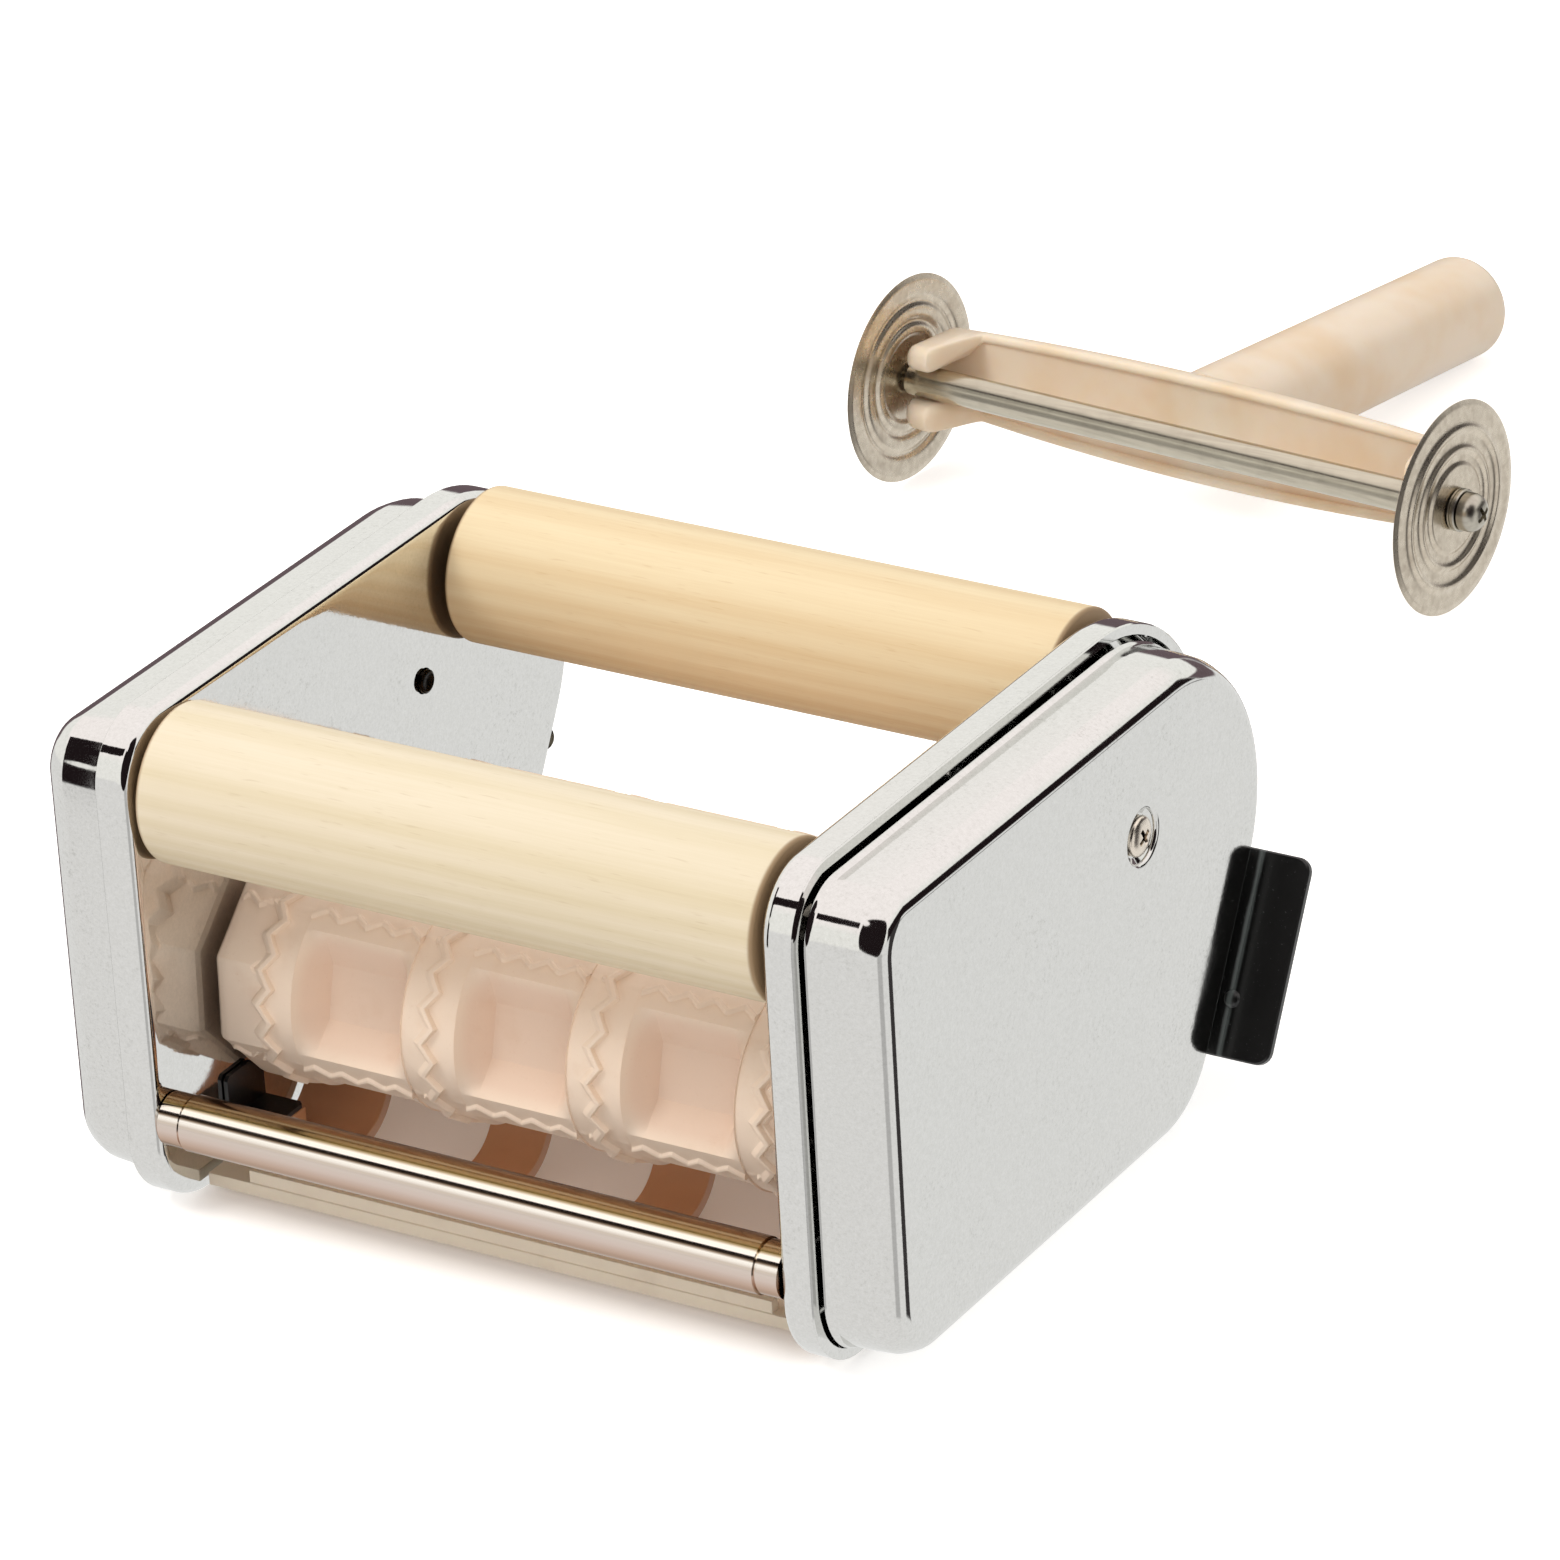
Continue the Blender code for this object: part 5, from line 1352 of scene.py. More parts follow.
@dataclass
class MouldRollers:
    """The two ravioli rollers: pockets, cushioned bands and zigzag ridges both ways."""

    radius: float = 0.0240
    pocket: float = 0.0275
    wall: float = 0.0042
    depth: float = 0.0046
    floor: float = 0.0120
    ridge_height: float = 0.0010
    swing: float = 0.00145
    teeth: int = 20
    bar_height: float = 0.0009
    bar_half: float = 0.0009
    bar_swing: float = 0.0011
    bar_teeth: int = 6
    first_pocket: float = math.radians(165.0)
    bore: float = 0.0044
    end_corner: float = math.radians(-10.0)
    end_radius: float = 0.0248
    end_round: Outline = ((0.0, -0.0022), (0.0003, -0.0012), (0.0012, -0.0004), (0.0028, 0.0),
                          (0.0075, 0.0))

    def stations(self) -> np.ndarray:
        """Rows (x, band profile, zigzag share, wall share, pocket index) along the roller.

        The band's profile is its height over the radius: the crest of the ridge, its foot, a
        soft fall to the rounded rim. The wall share goes from 0 at a pocket's rim to 1 on its
        floor.

        Returns:
            The rows, in order of x.
        """
        end = LAYOUT.roller_end
        half_band = (LAYOUT.pitch - self.pocket) / 2
        rows = [(-end + x, height, 0, 0) for x, height in self.end_round]
        for band in range(4):
            middle = (band - 1.5) * LAYOUT.pitch
            profile = [
                (-half_band + 0.0001, -0.0004, 0.0), (-half_band + 0.0007, -0.0003, 0.15),
                (-half_band + 0.0020, -0.0002, 0.5), (-0.0026, -0.0001, 1.0), (-0.0019, 0.0, 1.0),
                (-0.0006, self.ridge_height * 0.9, 1.0), (-0.0003, self.ridge_height, 1.0),
                (0.0006, self.ridge_height, 1.0), (0.0008, self.ridge_height * 0.8, 1.0),
                (0.0010, -0.0003, 1.0), (0.0022, -0.0004, 1.0), (half_band - 0.0024, -0.0003, 0.5),
                (half_band - 0.0007, -0.0003, 0.1), (half_band - 0.0001, -0.0004, 0.0),
            ]
            if band == 0:
                profile = profile[3:]
            if band == 3:
                profile = profile[:11]
            rows += [(middle + x, height, share, 0) for x, height, share in profile]
            if band < 3:
                centre = middle + LAYOUT.pitch / 2
                half = self.pocket / 2
                run = [(-half, 0.0), (-half + self.wall, 1.0)]
                inner = np.linspace(-half + self.wall, half - self.wall, 5)[1:-1]
                run += [(float(x), 1.0) for x in inner]
                run += [(-x, share) for x, share in reversed(run[:2])]
                rows += [(centre + x, 0.0, 0, share) for x, share in run]
        rows += [(end - x, height, 0, 0) for x, height in reversed(self.end_round)]
        table = np.array(rows, float)
        return table[np.argsort(table[:, 0], kind="stable")]

    def dense(self, table: np.ndarray) -> np.ndarray:
        """Stations with extra rows between distant ones, so that cross bars keep their teeth.

        Args:
            table: The stations.

        Returns:
            The stations and the extra rows.
        """
        step = LAYOUT.pitch / self.bar_teeth / 8
        made = [table[0]]
        for row in table[1:]:
            before = made[-1]
            pieces = max(1, int(math.ceil((row[0] - before[0]) / step)))
            for part in range(1, pieces):
                made.append(before + (row - before) * part / pieces)
            made.append(row)
        return np.array(made)

    def around(self) -> tuple[np.ndarray, ...]:
        """Lines round the roller: rim angle, deep angle, deep radius, bar share and bar carry.

        Each quarter has some 75 lines. In the pocket a line's deep point lies on a flat floor
        or on a straight wall that climbs to the rim; on the land between pockets it stays on
        the rim.

        Returns:
            Five arrays with a value for each line.
        """
        half_open = math.asin(self.pocket / 2 / self.radius)
        chord = self.radius * math.cos(half_open)
        quarter = math.pi / 2
        floor_edge, wall_top = self.floor / self.pocket, 0.965
        inner = np.unique(np.round(np.concatenate([
            np.linspace(-1, 1, 47), (-wall_top, wall_top, -floor_edge, floor_edge)]), 6))
        across = inner * self.pocket / 2
        rise = np.clip((np.abs(across) - self.floor / 2) / (self.pocket / 2 - self.floor / 2), 0, 1)
        height = chord - self.depth * (1 - rise)
        rim = half_open * inner
        deep_angle = np.arctan2(across, height)
        deep_radius = np.hypot(across, height)
        land = np.linspace(half_open, quarter - half_open, 26)[1:-1]
        middle = quarter / 2
        offset = (land - middle) * self.radius
        bar = np.clip(1 - (np.abs(offset) - self.bar_half * 0.4) / (self.bar_half * 0.6), 0, 1)
        carry = np.clip(1 - (np.abs(offset) - self.bar_half * 1.4) / 0.0022, 0, 1)
        rims, angles, radii, bars, carries = [], [], [], [], []
        for turn in range(4):
            start = turn * quarter
            rims += [rim + start, land + start]
            angles += [deep_angle + start, land + start]
            radii += [deep_radius, np.full(len(land), self.radius)]
            bars += [np.zeros(len(rim)), bar]
            carries += [np.zeros(len(rim)), carry]
        return tuple(np.concatenate(part) for part in (rims, angles, radii, bars, carries))

    def shape(self, mirror: bool) -> Shape:
        """Grid over (station, line).

        A zigzag wave of the angle shifts the stations of a ridge along X, and a zigzag wave of
        X shifts the cross bars round the roller. Inside a pocket a point is a blend, by the
        wall share, of its rim point and its deep point.

        Args:
            mirror: True for the rear roller, which mirrors the front one.

        Returns:
            The roller, with its bore.
        """
        table = self.dense(self.stations())
        rim, deep_angle, deep_radius, bar, carry = self.around()
        x, height, swing, share = (column[:, None] for column in table.T)
        period = 2 * math.pi / self.teeth
        wave = 2 * np.abs(2 * ((rim / period) % 1.0) - 1) - 1
        along = x + swing * self.swing * wave
        tooth = LAYOUT.pitch / self.bar_teeth
        zag = 2 * np.abs(2 * ((x / tooth) % 1.0) - 1) - 1
        outer = self.radius + height
        step = math.pi / 4
        off_flat = (rim - self.end_corner) % step - step / 2
        flats = self.end_radius * math.cos(step / 2) / np.cos(off_flat)
        margin = np.abs(x) > 1.5 * LAYOUT.pitch + 0.0021
        outer = np.where(margin, flats + height, outer)
        calm = np.clip(1 - np.abs(height) / 0.0004, 0, 1) * (1 - swing)
        inside = (share > 0) | (height == 0)
        bars = bar * np.where(inside, 1.0, calm)
        outer = outer + self.bar_height * bars
        lean = carry * self.bar_swing / self.radius * zag * np.where(inside, 1.0, 0.0)
        angle = rim + lean
        rim_y, rim_z = outer * np.cos(angle), outer * np.sin(angle)
        deep_y = deep_radius * np.cos(deep_angle)
        deep_z = deep_radius * np.sin(deep_angle)
        land = np.abs(deep_radius - self.radius) < 1e-9
        blend = np.where(land, 0.0, share)
        y = rim_y * (1 - blend) + deep_y * blend
        z = rim_z * (1 - blend) + deep_z * blend
        turn = self.first_pocket
        turned_y = y * math.cos(turn) - z * math.sin(turn)
        turned_z = y * math.sin(turn) + z * math.cos(turn)
        if mirror:
            turned_y = -turned_y
        rings = np.stack([along, turned_y, turned_z], -1)
        count = rings.shape[1]
        spin = np.arctan2(rings[0, :, 2], rings[0, :, 1])
        bore_y, bore_z = self.bore * np.cos(spin), self.bore * np.sin(spin)
        caps = [np.stack([np.full(count, end), bore_y, bore_z], -1)
                for end in (LAYOUT.roller_end, -LAYOUT.roller_end)]
        return skin(np.concatenate([rings, np.stack(caps)]), True)

    def build(self, front: Material, rear: Material) -> None:
        """Make both rollers; the rear one mirrors the front one across the nip.

        Args:
            front: Finish of the front roller.
            rear: Finish of the rear roller.
        """
        for word, y, mirror, finish in (("front", LAYOUT.front_mould_y, False, front),
                                        ("rear", LAYOUT.rear_mould_y, True, rear)):
            shape = self.shape(mirror).moved(0.0, y, LAYOUT.mould_z)
            add_piece(f"{word}_ravioli_roller", to_mesh("mould", shape), finish, f"{word}_mould",
                      (f"{word}_mould_roller",), Edge(angle=math.radians(20.0)))


@dataclass
class TieTubes:
    """The two tie tubes, turned down at their ends."""

    radius: float = 0.0062
    collar: float = 0.0055
    groove: float = 0.0006
    step: float = 0.0003
    bore: float = 0.0022

    def build(self, front: Material, rear: Material) -> None:
        """Make both tubes.

        Args:
            front: Finish of the front tube.
            rear: Finish of the rear tube.
        """
        end = LAYOUT.cheek_inner - LAYOUT.gap
        start, groove, thin = end - self.collar, self.radius - self.groove, self.radius - self.step
        half = [(start - 0.0002, self.radius), (start, groove), (start + 0.0003, groove),
                (start + 0.0005, thin), (end, thin)]
        path = [(-end, self.bore)] + [(-x, r) for x, r in reversed(half)] + half + [(end, self.bore)]
        for word, (y, z), finish in (("front", LAYOUT.front_tie, front),
                                     ("rear", LAYOUT.rear_tie, rear)):
            shape = lathe(path, 72, True).moved(0.0, y, z)
            add_piece(f"{word}_tie", to_mesh("tie", shape), finish, "frame",
                      (f"{word}_tie_tube",), Edge(angle=math.radians(50.0)))


@dataclass
class Combs:
    """The stripping combs under the mould rollers and the black brackets that hold them."""

    front_y: float = -0.0960
    strip_depth: float = 0.0100
    bottom_z: float = 0.0023
    strip_height: float = 0.0029
    lip_height: float = 0.0029
    lip_depth: float = 0.0028
    lip_inset: float = 0.0105
    lip_root: float = 0.0012
    finger_half: float = 0.00705
    post_half: tuple[float, float] = (0.00375, 0.004)
    overlap: float = 0.0003
    corner: float = 0.001
    thickness: float = 0.0025
    bend_y: float = -0.0680
    bend_radius: float = 0.0110
    rise: float = math.radians(60.0)
    swept: float = 0.0259
    bracket_front: float = -0.0865
    bracket_depth: float = 0.0135
    bracket_top: float = 0.0235
    bracket_cut: float = 0.0045
    foot_z: float = 0.0135
    foot_reach: float = 0.0100
    foot_depth: float = 0.0075
    bracket_sheet: float = 0.0010

    def finger(self) -> np.ndarray:
        """Side view of a finger: flat, an arc with its centre above, then straight to its tip.

        Returns:
            Outline (y, z).
        """
        top = self.bottom_z + self.thickness
        centre = np.array((self.bend_y, top + self.bend_radius))
        angle = arc(0.0, self.rise, 12)
        ray = np.stack([np.sin(angle), -np.cos(angle)], -1)
        upper = centre + self.bend_radius * ray
        lower = centre + (self.bend_radius + self.thickness) * ray
        way = np.array((math.cos(self.rise), math.sin(self.rise)))
        offset = upper[-1] - np.array((LAYOUT.front_mould_y, LAYOUT.mould_z))
        along = offset @ way
        run = -along - math.sqrt(max(along ** 2 - (offset @ offset - self.swept ** 2), 0.0))
        start = np.array((self.front_y + self.strip_depth / 2, 0.0))
        upper = np.vstack([start + (0, top), upper, upper[-1] + way * run])
        lower = np.vstack([start + (0, self.bottom_z), lower, lower[-1] + way * (run + 0.0009)])
        return np.vstack([upper, lower[::-1]])

    def comb(self) -> Mesh:
        """Strip, lip, fingers and posts joined to one closed body.

        Returns:
            The front comb's mesh.
        """
        end = LAYOUT.cheek_inner - 4 * LAYOUT.gap
        back = self.front_y + self.strip_depth
        top = self.bottom_z + self.strip_height
        strip = slab(rectangle(self.front_y, back, self.bottom_z, top), -end, end, Along.X)
        lip_end = end - self.lip_inset
        low, high = self.front_y + self.overlap, self.front_y + self.lip_depth
        lip = rectangle(low, high, top - self.lip_root, top + self.lip_height)
        pieces = [slab(lip, -lip_end, lip_end, Along.X)]
        for index in range(4):
            middle = (index - 1.5) * LAYOUT.pitch
            left = -end + self.overlap if index == 0 else middle - self.finger_half
            right = end - self.overlap if index == 3 else middle + self.finger_half
            pieces.append(slab(self.finger(), left, right, Along.X))
        inner = LAYOUT.cheek_inner - LAYOUT.gap - self.bracket_sheet - self.foot_reach
        y = self.bracket_front + self.bracket_depth - self.foot_depth / 2
        wide, deep = self.post_half
        for side, _ in SIDES:
            x = side * (inner + wide)
            post = rectangle(x - wide, x + wide, y - deep, y + deep)
            pieces.append(slab(post, self.bottom_z + self.overlap,
                               self.foot_z - self.bracket_sheet - self.overlap, Along.Z))
        return carve(to_mesh("comb", strip), [to_mesh("part", piece) for piece in pieces], Joint.FUSE)

    def bracket(self) -> tuple[Shape, Shape]:
        """Angle bracket on the right of the front comb: tab outline along X, foot along Z.

        Returns:
            Tab and foot.
        """
        outer = LAYOUT.cheek_inner - LAYOUT.gap
        inner = outer - self.bracket_sheet
        back = self.bracket_front + self.bracket_depth
        under, top = self.foot_z - self.bracket_sheet, self.bracket_top
        start, cut, corner = self.bracket_front, self.bracket_cut, self.corner
        tab = np.array([(start, under), (back, under), (back, top - cut), (back - cut, top),
                        (start + corner, top), (start, top - corner)])
        reach = inner - self.foot_reach
        front = back - self.foot_depth
        foot = np.array([(inner + 0.0005, front), (inner + 0.0005, back - 0.0001),
                         (reach + corner, back - 0.0001), (reach, back - corner), (reach, front)])
        return slab(tab, inner, outer, Along.X), slab(foot, under, self.foot_z, Along.Z)

    def build(self, front: Material, rear: Material, paint: Material) -> None:
        """Make both combs and the four brackets.

        Args:
            front: Finish of the front comb.
            rear: Finish of the rear comb.
            paint: Finish of the brackets.
        """
        mesh = self.comb()
        add_piece("front_stripping_comb", mesh, front, "frame", ("front_comb",),
                  Edge(0.0004))
        copy = mesh.copy()
        plane = LAYOUT.nip_y + LAYOUT.shift.y
        copy.transform(Matrix.Translation((0, 2 * plane, 0)) @ Matrix.Diagonal((1, -1, 1, 1)))
        copy.flip_normals()
        add_piece("rear_stripping_comb", copy, rear, "frame", ("rear_comb",),
                  Edge(0.0004))
        for word in ("front", "rear"):
            for side, side_word in SIDES:
                tab, foot = (part.on_side(side) for part in self.bracket())
                if word == "rear":
                    tab, foot = (part.mirrored_y(LAYOUT.nip_y) for part in (tab, foot))
                body = carve(to_mesh("tab", tab), [to_mesh("foot", foot)], Joint.FUSE)
                add_piece(f"{word}_{side_word}_angle_bracket", body, paint, "frame",
                          (f"{word}_comb_bracket_{side_word}",), Edge(0.0002))


@dataclass
class HookPlates:
    """The black plates riveted behind the back flanges, bent along a line beside the cover."""

    thickness: float = 0.0020
    length: float = 0.0455
    reach: float = 0.1120
    corner: float = 0.0032
    bend_x: float = 0.1008
    bend: float = math.radians(7.0)
    bend_half: float = 0.0006
    bead: float = 0.00035
    ease: float = 0.00035
    spread: float = 0.0260
    rivet_radius: float = 0.0030
    rivet_height: float = 0.0010
    rivet_shank: float = 0.0015
    bump_place: float = 0.0100
    bump_radius: float = 0.0018
    bump_height: float = 0.0008

    def home(self) -> Matrix:
        """Matrix from plate coordinates: Y runs down the back flange, Z points away from it.

        Returns:
            The matrix.
        """
        y, z = CHEEK_VIEW.back_middle()
        sine, cosine = math.sin(LAYOUT.slant), math.cos(LAYOUT.slant)
        return Matrix(((1, 0, 0, 0), (0, -sine, cosine, y), (0, -cosine, -sine, z), (0, 0, 0, 1)))

    def plate(self) -> Shape:
        """Eased slab, cut along the bend: past that line its height grows by tan(bend).

        A bead of height b exp(-(d / w)^2) runs along the line, d being the way from it.

        Returns:
            The right plate.
        """
        root = LAYOUT.cheek_inner + 0.0042
        half = self.length / 2
        corners = [(root, -half), (self.reach, -half), (self.reach, half), (root, half)]
        outline = rounded(corners, self.corner, 6)
        low, high = LAYOUT.gap, LAYOUT.gap + self.thickness
        ease = self.ease
        rings = []
        centre = outline.mean(0)
        for height, inset in ((low, ease), (low + ease, 0.0), (high - ease, 0.0), (high, ease)):
            away = outline - centre
            scale = 1 - inset / np.abs(away).max(0)
            rings.append(np.column_stack([centre + away * scale, np.full(len(outline), height)]))
        mesh = to_mesh("plate", skin(np.stack(rings)), True)
        work = bmesh.new()
        work.from_mesh(mesh)
        for x in self.bend_x + np.linspace(-0.0016, 0.0016, 7):
            everything = list(work.verts) + list(work.edges) + list(work.faces)
            bmesh.ops.bisect_plane(work, geom=everything, plane_co=(x, 0, 0), plane_no=(1, 0, 0))
        bmesh.ops.triangulate(work, faces=work.faces)
        work.to_mesh(mesh)
        work.free()
        points = np.empty(len(mesh.vertices) * 3)
        mesh.vertices.foreach_get("co", points)
        points = points.reshape(-1, 3)
        beyond = np.clip(points[:, 0] - self.bend_x + self.bend_half, 0, None)
        gentle = np.minimum(beyond / (2 * self.bend_half), 1.0) * self.bend_half
        crease = np.exp(-((points[:, 0] - self.bend_x) / self.bend_half) ** 2) * self.bead
        points[:, 2] += (beyond - gentle) * math.tan(self.bend) + crease
        faces = [tuple(polygon.vertices) for polygon in mesh.polygons]
        return Shape(points, faces).placed(self.home())

    def rivet(self, way: int) -> Shape:
        """Rivet turned about its own axis, then stood on the flange.

        Args:
            way: +1 for the lower rivet, -1 for the upper one.

        Returns:
            The rivet.
        """
        outer = 2 * LAYOUT.gap + self.thickness
        inner = -LAYOUT.sheet - LAYOUT.gap
        shank = self.rivet_shank
        path = [(inner - 0.001, 0.0004), (inner - 0.001, 0.0016), (inner - 0.0004, 0.0023),
                (inner, 0.0023), (inner, shank), (outer, shank), (outer, self.rivet_radius)]
        path += [(outer + self.rivet_height * math.sin(a), self.rivet_radius * math.cos(a))
                 for a in arc(0.2, 1.45, 6)]
        across = (LAYOUT.cheek_inner + LAYOUT.sheet + LAYOUT.cheek_rim) / 2
        spot = Matrix.Translation((across, way * self.spread / 2, 0))
        return lathe(path, 36).placed(self.home() @ spot @ Matrix.Rotation(-math.pi / 2, 4, "Y"))

    def nub(self) -> Shape:
        """Small round bump pressed on the crease: a cap of rings r cos a at height h sin a.

        Returns:
            The bump.
        """
        path = [(-0.0002, self.bump_radius + 0.0002)]
        path += [(self.bump_height * math.sin(a), self.bump_radius * math.cos(a))
                 for a in arc(0, 1.5, 6)]
        spot = Matrix.Translation((self.bend_x + 0.0002, self.bump_place, LAYOUT.gap))
        flip = Matrix.Rotation(math.pi / 2, 4, "Y")
        return lathe(path, 28).placed(self.home() @ spot @ flip)

    def build(self, paint: Material, steel: Material) -> None:
        """Make plates, bumps and rivets on both sides.

        Args:
            paint: Finish of plates and bumps.
            steel: Finish of the rivets.
        """
        for side, word in SIDES:
            add_piece(f"{word}_hook", to_mesh("hook", self.plate().on_side(side)), paint, "frame",
                      (f"{word}_hook_plate",))
            add_piece(f"{word}_hook_bump", to_mesh("bump", self.nub().on_side(side)), paint, "frame",
                      ())
            for way, level in ((1, "lower"), (-1, "upper")):
                rivet = to_mesh("rivet", self.rivet(way).on_side(side))
                add_piece(f"{word}_{level}_rivet", rivet, steel, "frame",
                          (f"{word}_hook_rivet_{level}",))


@dataclass
class CrankSocket:
    """Slotted sleeve on the left end of the front mould shaft."""

    inner_x: float = 0.0796
    radius: float = 0.0070
    bore: float = 0.0043
    slot: float = 0.0028
    slot_depth: float = 0.0050
    slot_reach: float = 0.012
    ease: float = 0.0005

    def build(self, finish: Material) -> None:
        """Make the sleeve.

        Args:
            finish: Bare steel.
        """
        outer = LAYOUT.cover_face - LAYOUT.sheet / 2
        ease = self.ease
        path = [(self.inner_x, self.bore), (self.inner_x, self.radius), (outer - ease, self.radius),
                (outer, self.radius - ease), (outer, self.bore + ease), (outer - ease, self.bore)]
        place = (0.0, LAYOUT.front_mould_y, LAYOUT.mould_z)
        sleeve = to_mesh("sleeve", lathe(path, 64, True).moved(*place).on_side(-1))
        half, reach = self.slot / 2, self.slot_reach
        box = rectangle(-reach, reach, -half, half)
        cutter = slab(box, outer - self.slot_depth, outer + 0.005, Along.X).moved(*place).on_side(-1)
        add_piece("crank_sleeve", carve(sleeve, [to_mesh("slot", cutter)]), finish, "front_mould",
                  ("crank_socket",))


@dataclass
class Cutter:
    """Twin-wheel pastry cutter: forked yoke with its grip, rod, pressed discs and screws."""

    x: float = -0.0470
    y: float = 0.2822
    turn: float = math.radians(-4.8)
    wheel_radius: float = 0.0265
    spacing: float = 0.1580
    disc: float = 0.0009
    rod: float = 0.0040
    yoke_half: float = 0.0765
    middle_half: float = 0.0134
    end_half: float = 0.0106
    back: float = 0.0138
    web: float = 0.0028
    wall: float = 0.0023
    prong_reach: float = 0.0070
    prong: float = 0.0125
    setback: float = 0.0087
    end_setback: float = 0.0106
    grip_length: float = 0.1340
    neck_radius: float = 0.0137
    end_radius: float = 0.0132
    end_round: float = 0.0050
    play: float = 0.0004
    dense_from: float = 0.82
    prong_ramp: float = 0.45
    end_length: float = 0.0032
    end_draft: tuple[float, float] = (0.0018, 0.0014)
    flange_round: float = 0.0026
    bevel: float = 0.0012
    hub_height: float = 0.0006
    hub_radius: float = 0.0105
    rings: tuple[Point, ...] = ((0.55, 0.00070, 0.0010), (0.74, 0.00070, 0.0011))
    rim_taper: float = 0.0016
    screw: Screw = Screw(head=0.00475, height=0.0052, side_share=0.30, power=0.8, last=84.0, steps=12,
                         shank=(0.0070, 0.0017), recess=(0.0015, 0.0066, 0.0022))
    washer_radius: float = 0.00525
    washer_thickness: float = 0.0020

    def stand(self) -> Matrix:
        """Matrix from cutter coordinates, whose X is the rod, to the machine's."""
        place = Matrix.Translation((self.x, self.y, self.wheel_radius))
        return place @ Matrix.Rotation(self.turn, 4, "Z")

    def tilt(self) -> Matrix:
        """Turn about the rod that brings the grip's end down to the table.

        Returns:
            The matrix.
        """
        reach = self.grip_length - self.end_round
        angle = math.asin(self.wheel_radius / math.hypot(reach, self.end_radius))
        return Matrix.Rotation(-(angle - math.atan2(self.end_radius, reach)), 4, "X")

    def channel(self) -> Shape:
        """C-section carried along the rod's axis.

        Half height and setback change with x squared. Near the ends the flanges reach forward
        past the rod by a smooth step and close on it; their front edges are half round, and
        the outermost 3 mm round off as 1 - sqrt(1 - t^2).

        Returns:
            The yoke.
        """
        dense = np.linspace(self.dense_from, 1, 26)
        middle = np.linspace(-self.dense_from, self.dense_from, 41)[1:-1]
        x = np.concatenate([-dense[::-1], middle, dense]) * self.yoke_half
        share = (np.abs(x) / self.yoke_half) ** 2
        half = self.middle_half + (self.end_half - self.middle_half) * share
        setback = self.setback + (self.end_setback - self.setback) * share
        into = (self.yoke_half - np.abs(x)) / self.prong
        reach = np.clip((1 - into) / self.prong_ramp, 0, 1)
        reach = reach * reach * (3 - 2 * reach)
        front = setback - (setback + self.prong_reach) * reach
        tip = np.clip((self.yoke_half - np.abs(x)) / self.end_length, 0, 1)
        soft = 1 - np.sqrt(np.clip(1 - (1 - tip) ** 2, 0, 1))
        half = half - soft * self.end_draft[0]
        front = front + soft * self.end_length * reach
        back = self.back - soft * self.end_draft[1]
        grip = self.rod + self.play
        close = np.clip(2 * into - 1, 0, 1)
        inner = grip + (half - self.wall - grip) * (close * close * (3 - 2 * close))
        web = np.minimum(back, self.back) - self.web
        ease = np.minimum((half - inner) * 0.46, self.flange_round)
        bevel = self.bevel
        upper = [(back, half - bevel), (back - bevel * 0.3, half - bevel * 0.3), (back - bevel, half)]
        upper += [(front + ease * (1 - math.sin(a)), half - ease * (1 - math.cos(a)))
                  for a in arc(0, math.pi / 2, 4)]
        upper += [(front + ease * (1 - math.sin(a)), inner + ease * (1 - math.cos(a)))
                  for a in arc(math.pi / 2, 0, 4)]
        upper.append((web, inner))
        lower = [(v, -h) for v, h in reversed(upper)]
        return skin(np.stack([np.stack([x, v + 0 * x, h], -1) for v, h in upper + lower], 1))

    def grip(self) -> Shape:
        """Tapered grip turned about its own axis, with a quarter-round end.

        Returns:
            The grip.
        """
        start = self.back - self.web / 2
        path = [(start, self.neck_radius), (start + 0.0120, self.neck_radius)]
        last = self.grip_length - self.end_round
        for share in np.linspace(0.15, 1, 8):
            path.append((start + (last - start) * share,
                         self.neck_radius + (self.end_radius - self.neck_radius) * share))
        for angle in arc(0.12, math.pi / 2, 9):
            path.append((last + self.end_round * math.sin(angle),
                         self.end_radius - self.end_round * (1 - math.cos(angle))))
        path.append((self.grip_length, 0.002))
        return lathe(path, 72).placed(Matrix.Rotation(math.pi / 2, 4, "Z"))

    def wheel(self) -> Shape:
        """Pressed disc: its height is a sum of bell curves at the rings' radii and a hub step.

        Returns:
            The right wheel.
        """
        radius = np.concatenate([[0.002], np.linspace(0.0046, self.wheel_radius - 0.0006, 70),
                                 [self.wheel_radius - 0.0001]])
        height = np.zeros_like(radius)
        for share, size, width in self.rings:
            height += size * np.exp(-((radius - share * self.wheel_radius) / width) ** 2)
        height += self.hub_height * np.clip(1 - (radius - self.hub_radius) / 0.0012, 0, 1)
        thin = np.clip((self.wheel_radius - radius) / self.rim_taper, 0.12, 1.0)
        middle = self.spacing / 2
        outer = list(zip(middle + self.disc / 2 * thin + height, radius))
        inner = list(zip(middle - self.disc / 2 * thin + height, radius))
        return lathe(outer + inner[::-1], 144, True)

    def hub_face(self) -> float:
        """X of the wheel's raised hub."""
        return self.spacing / 2 + self.disc / 2 + self.hub_height

    def seat(self) -> float:
        """X of the face that the screw's head rests on."""
        return self.hub_face() + self.washer_thickness + 2 * LAYOUT.gap

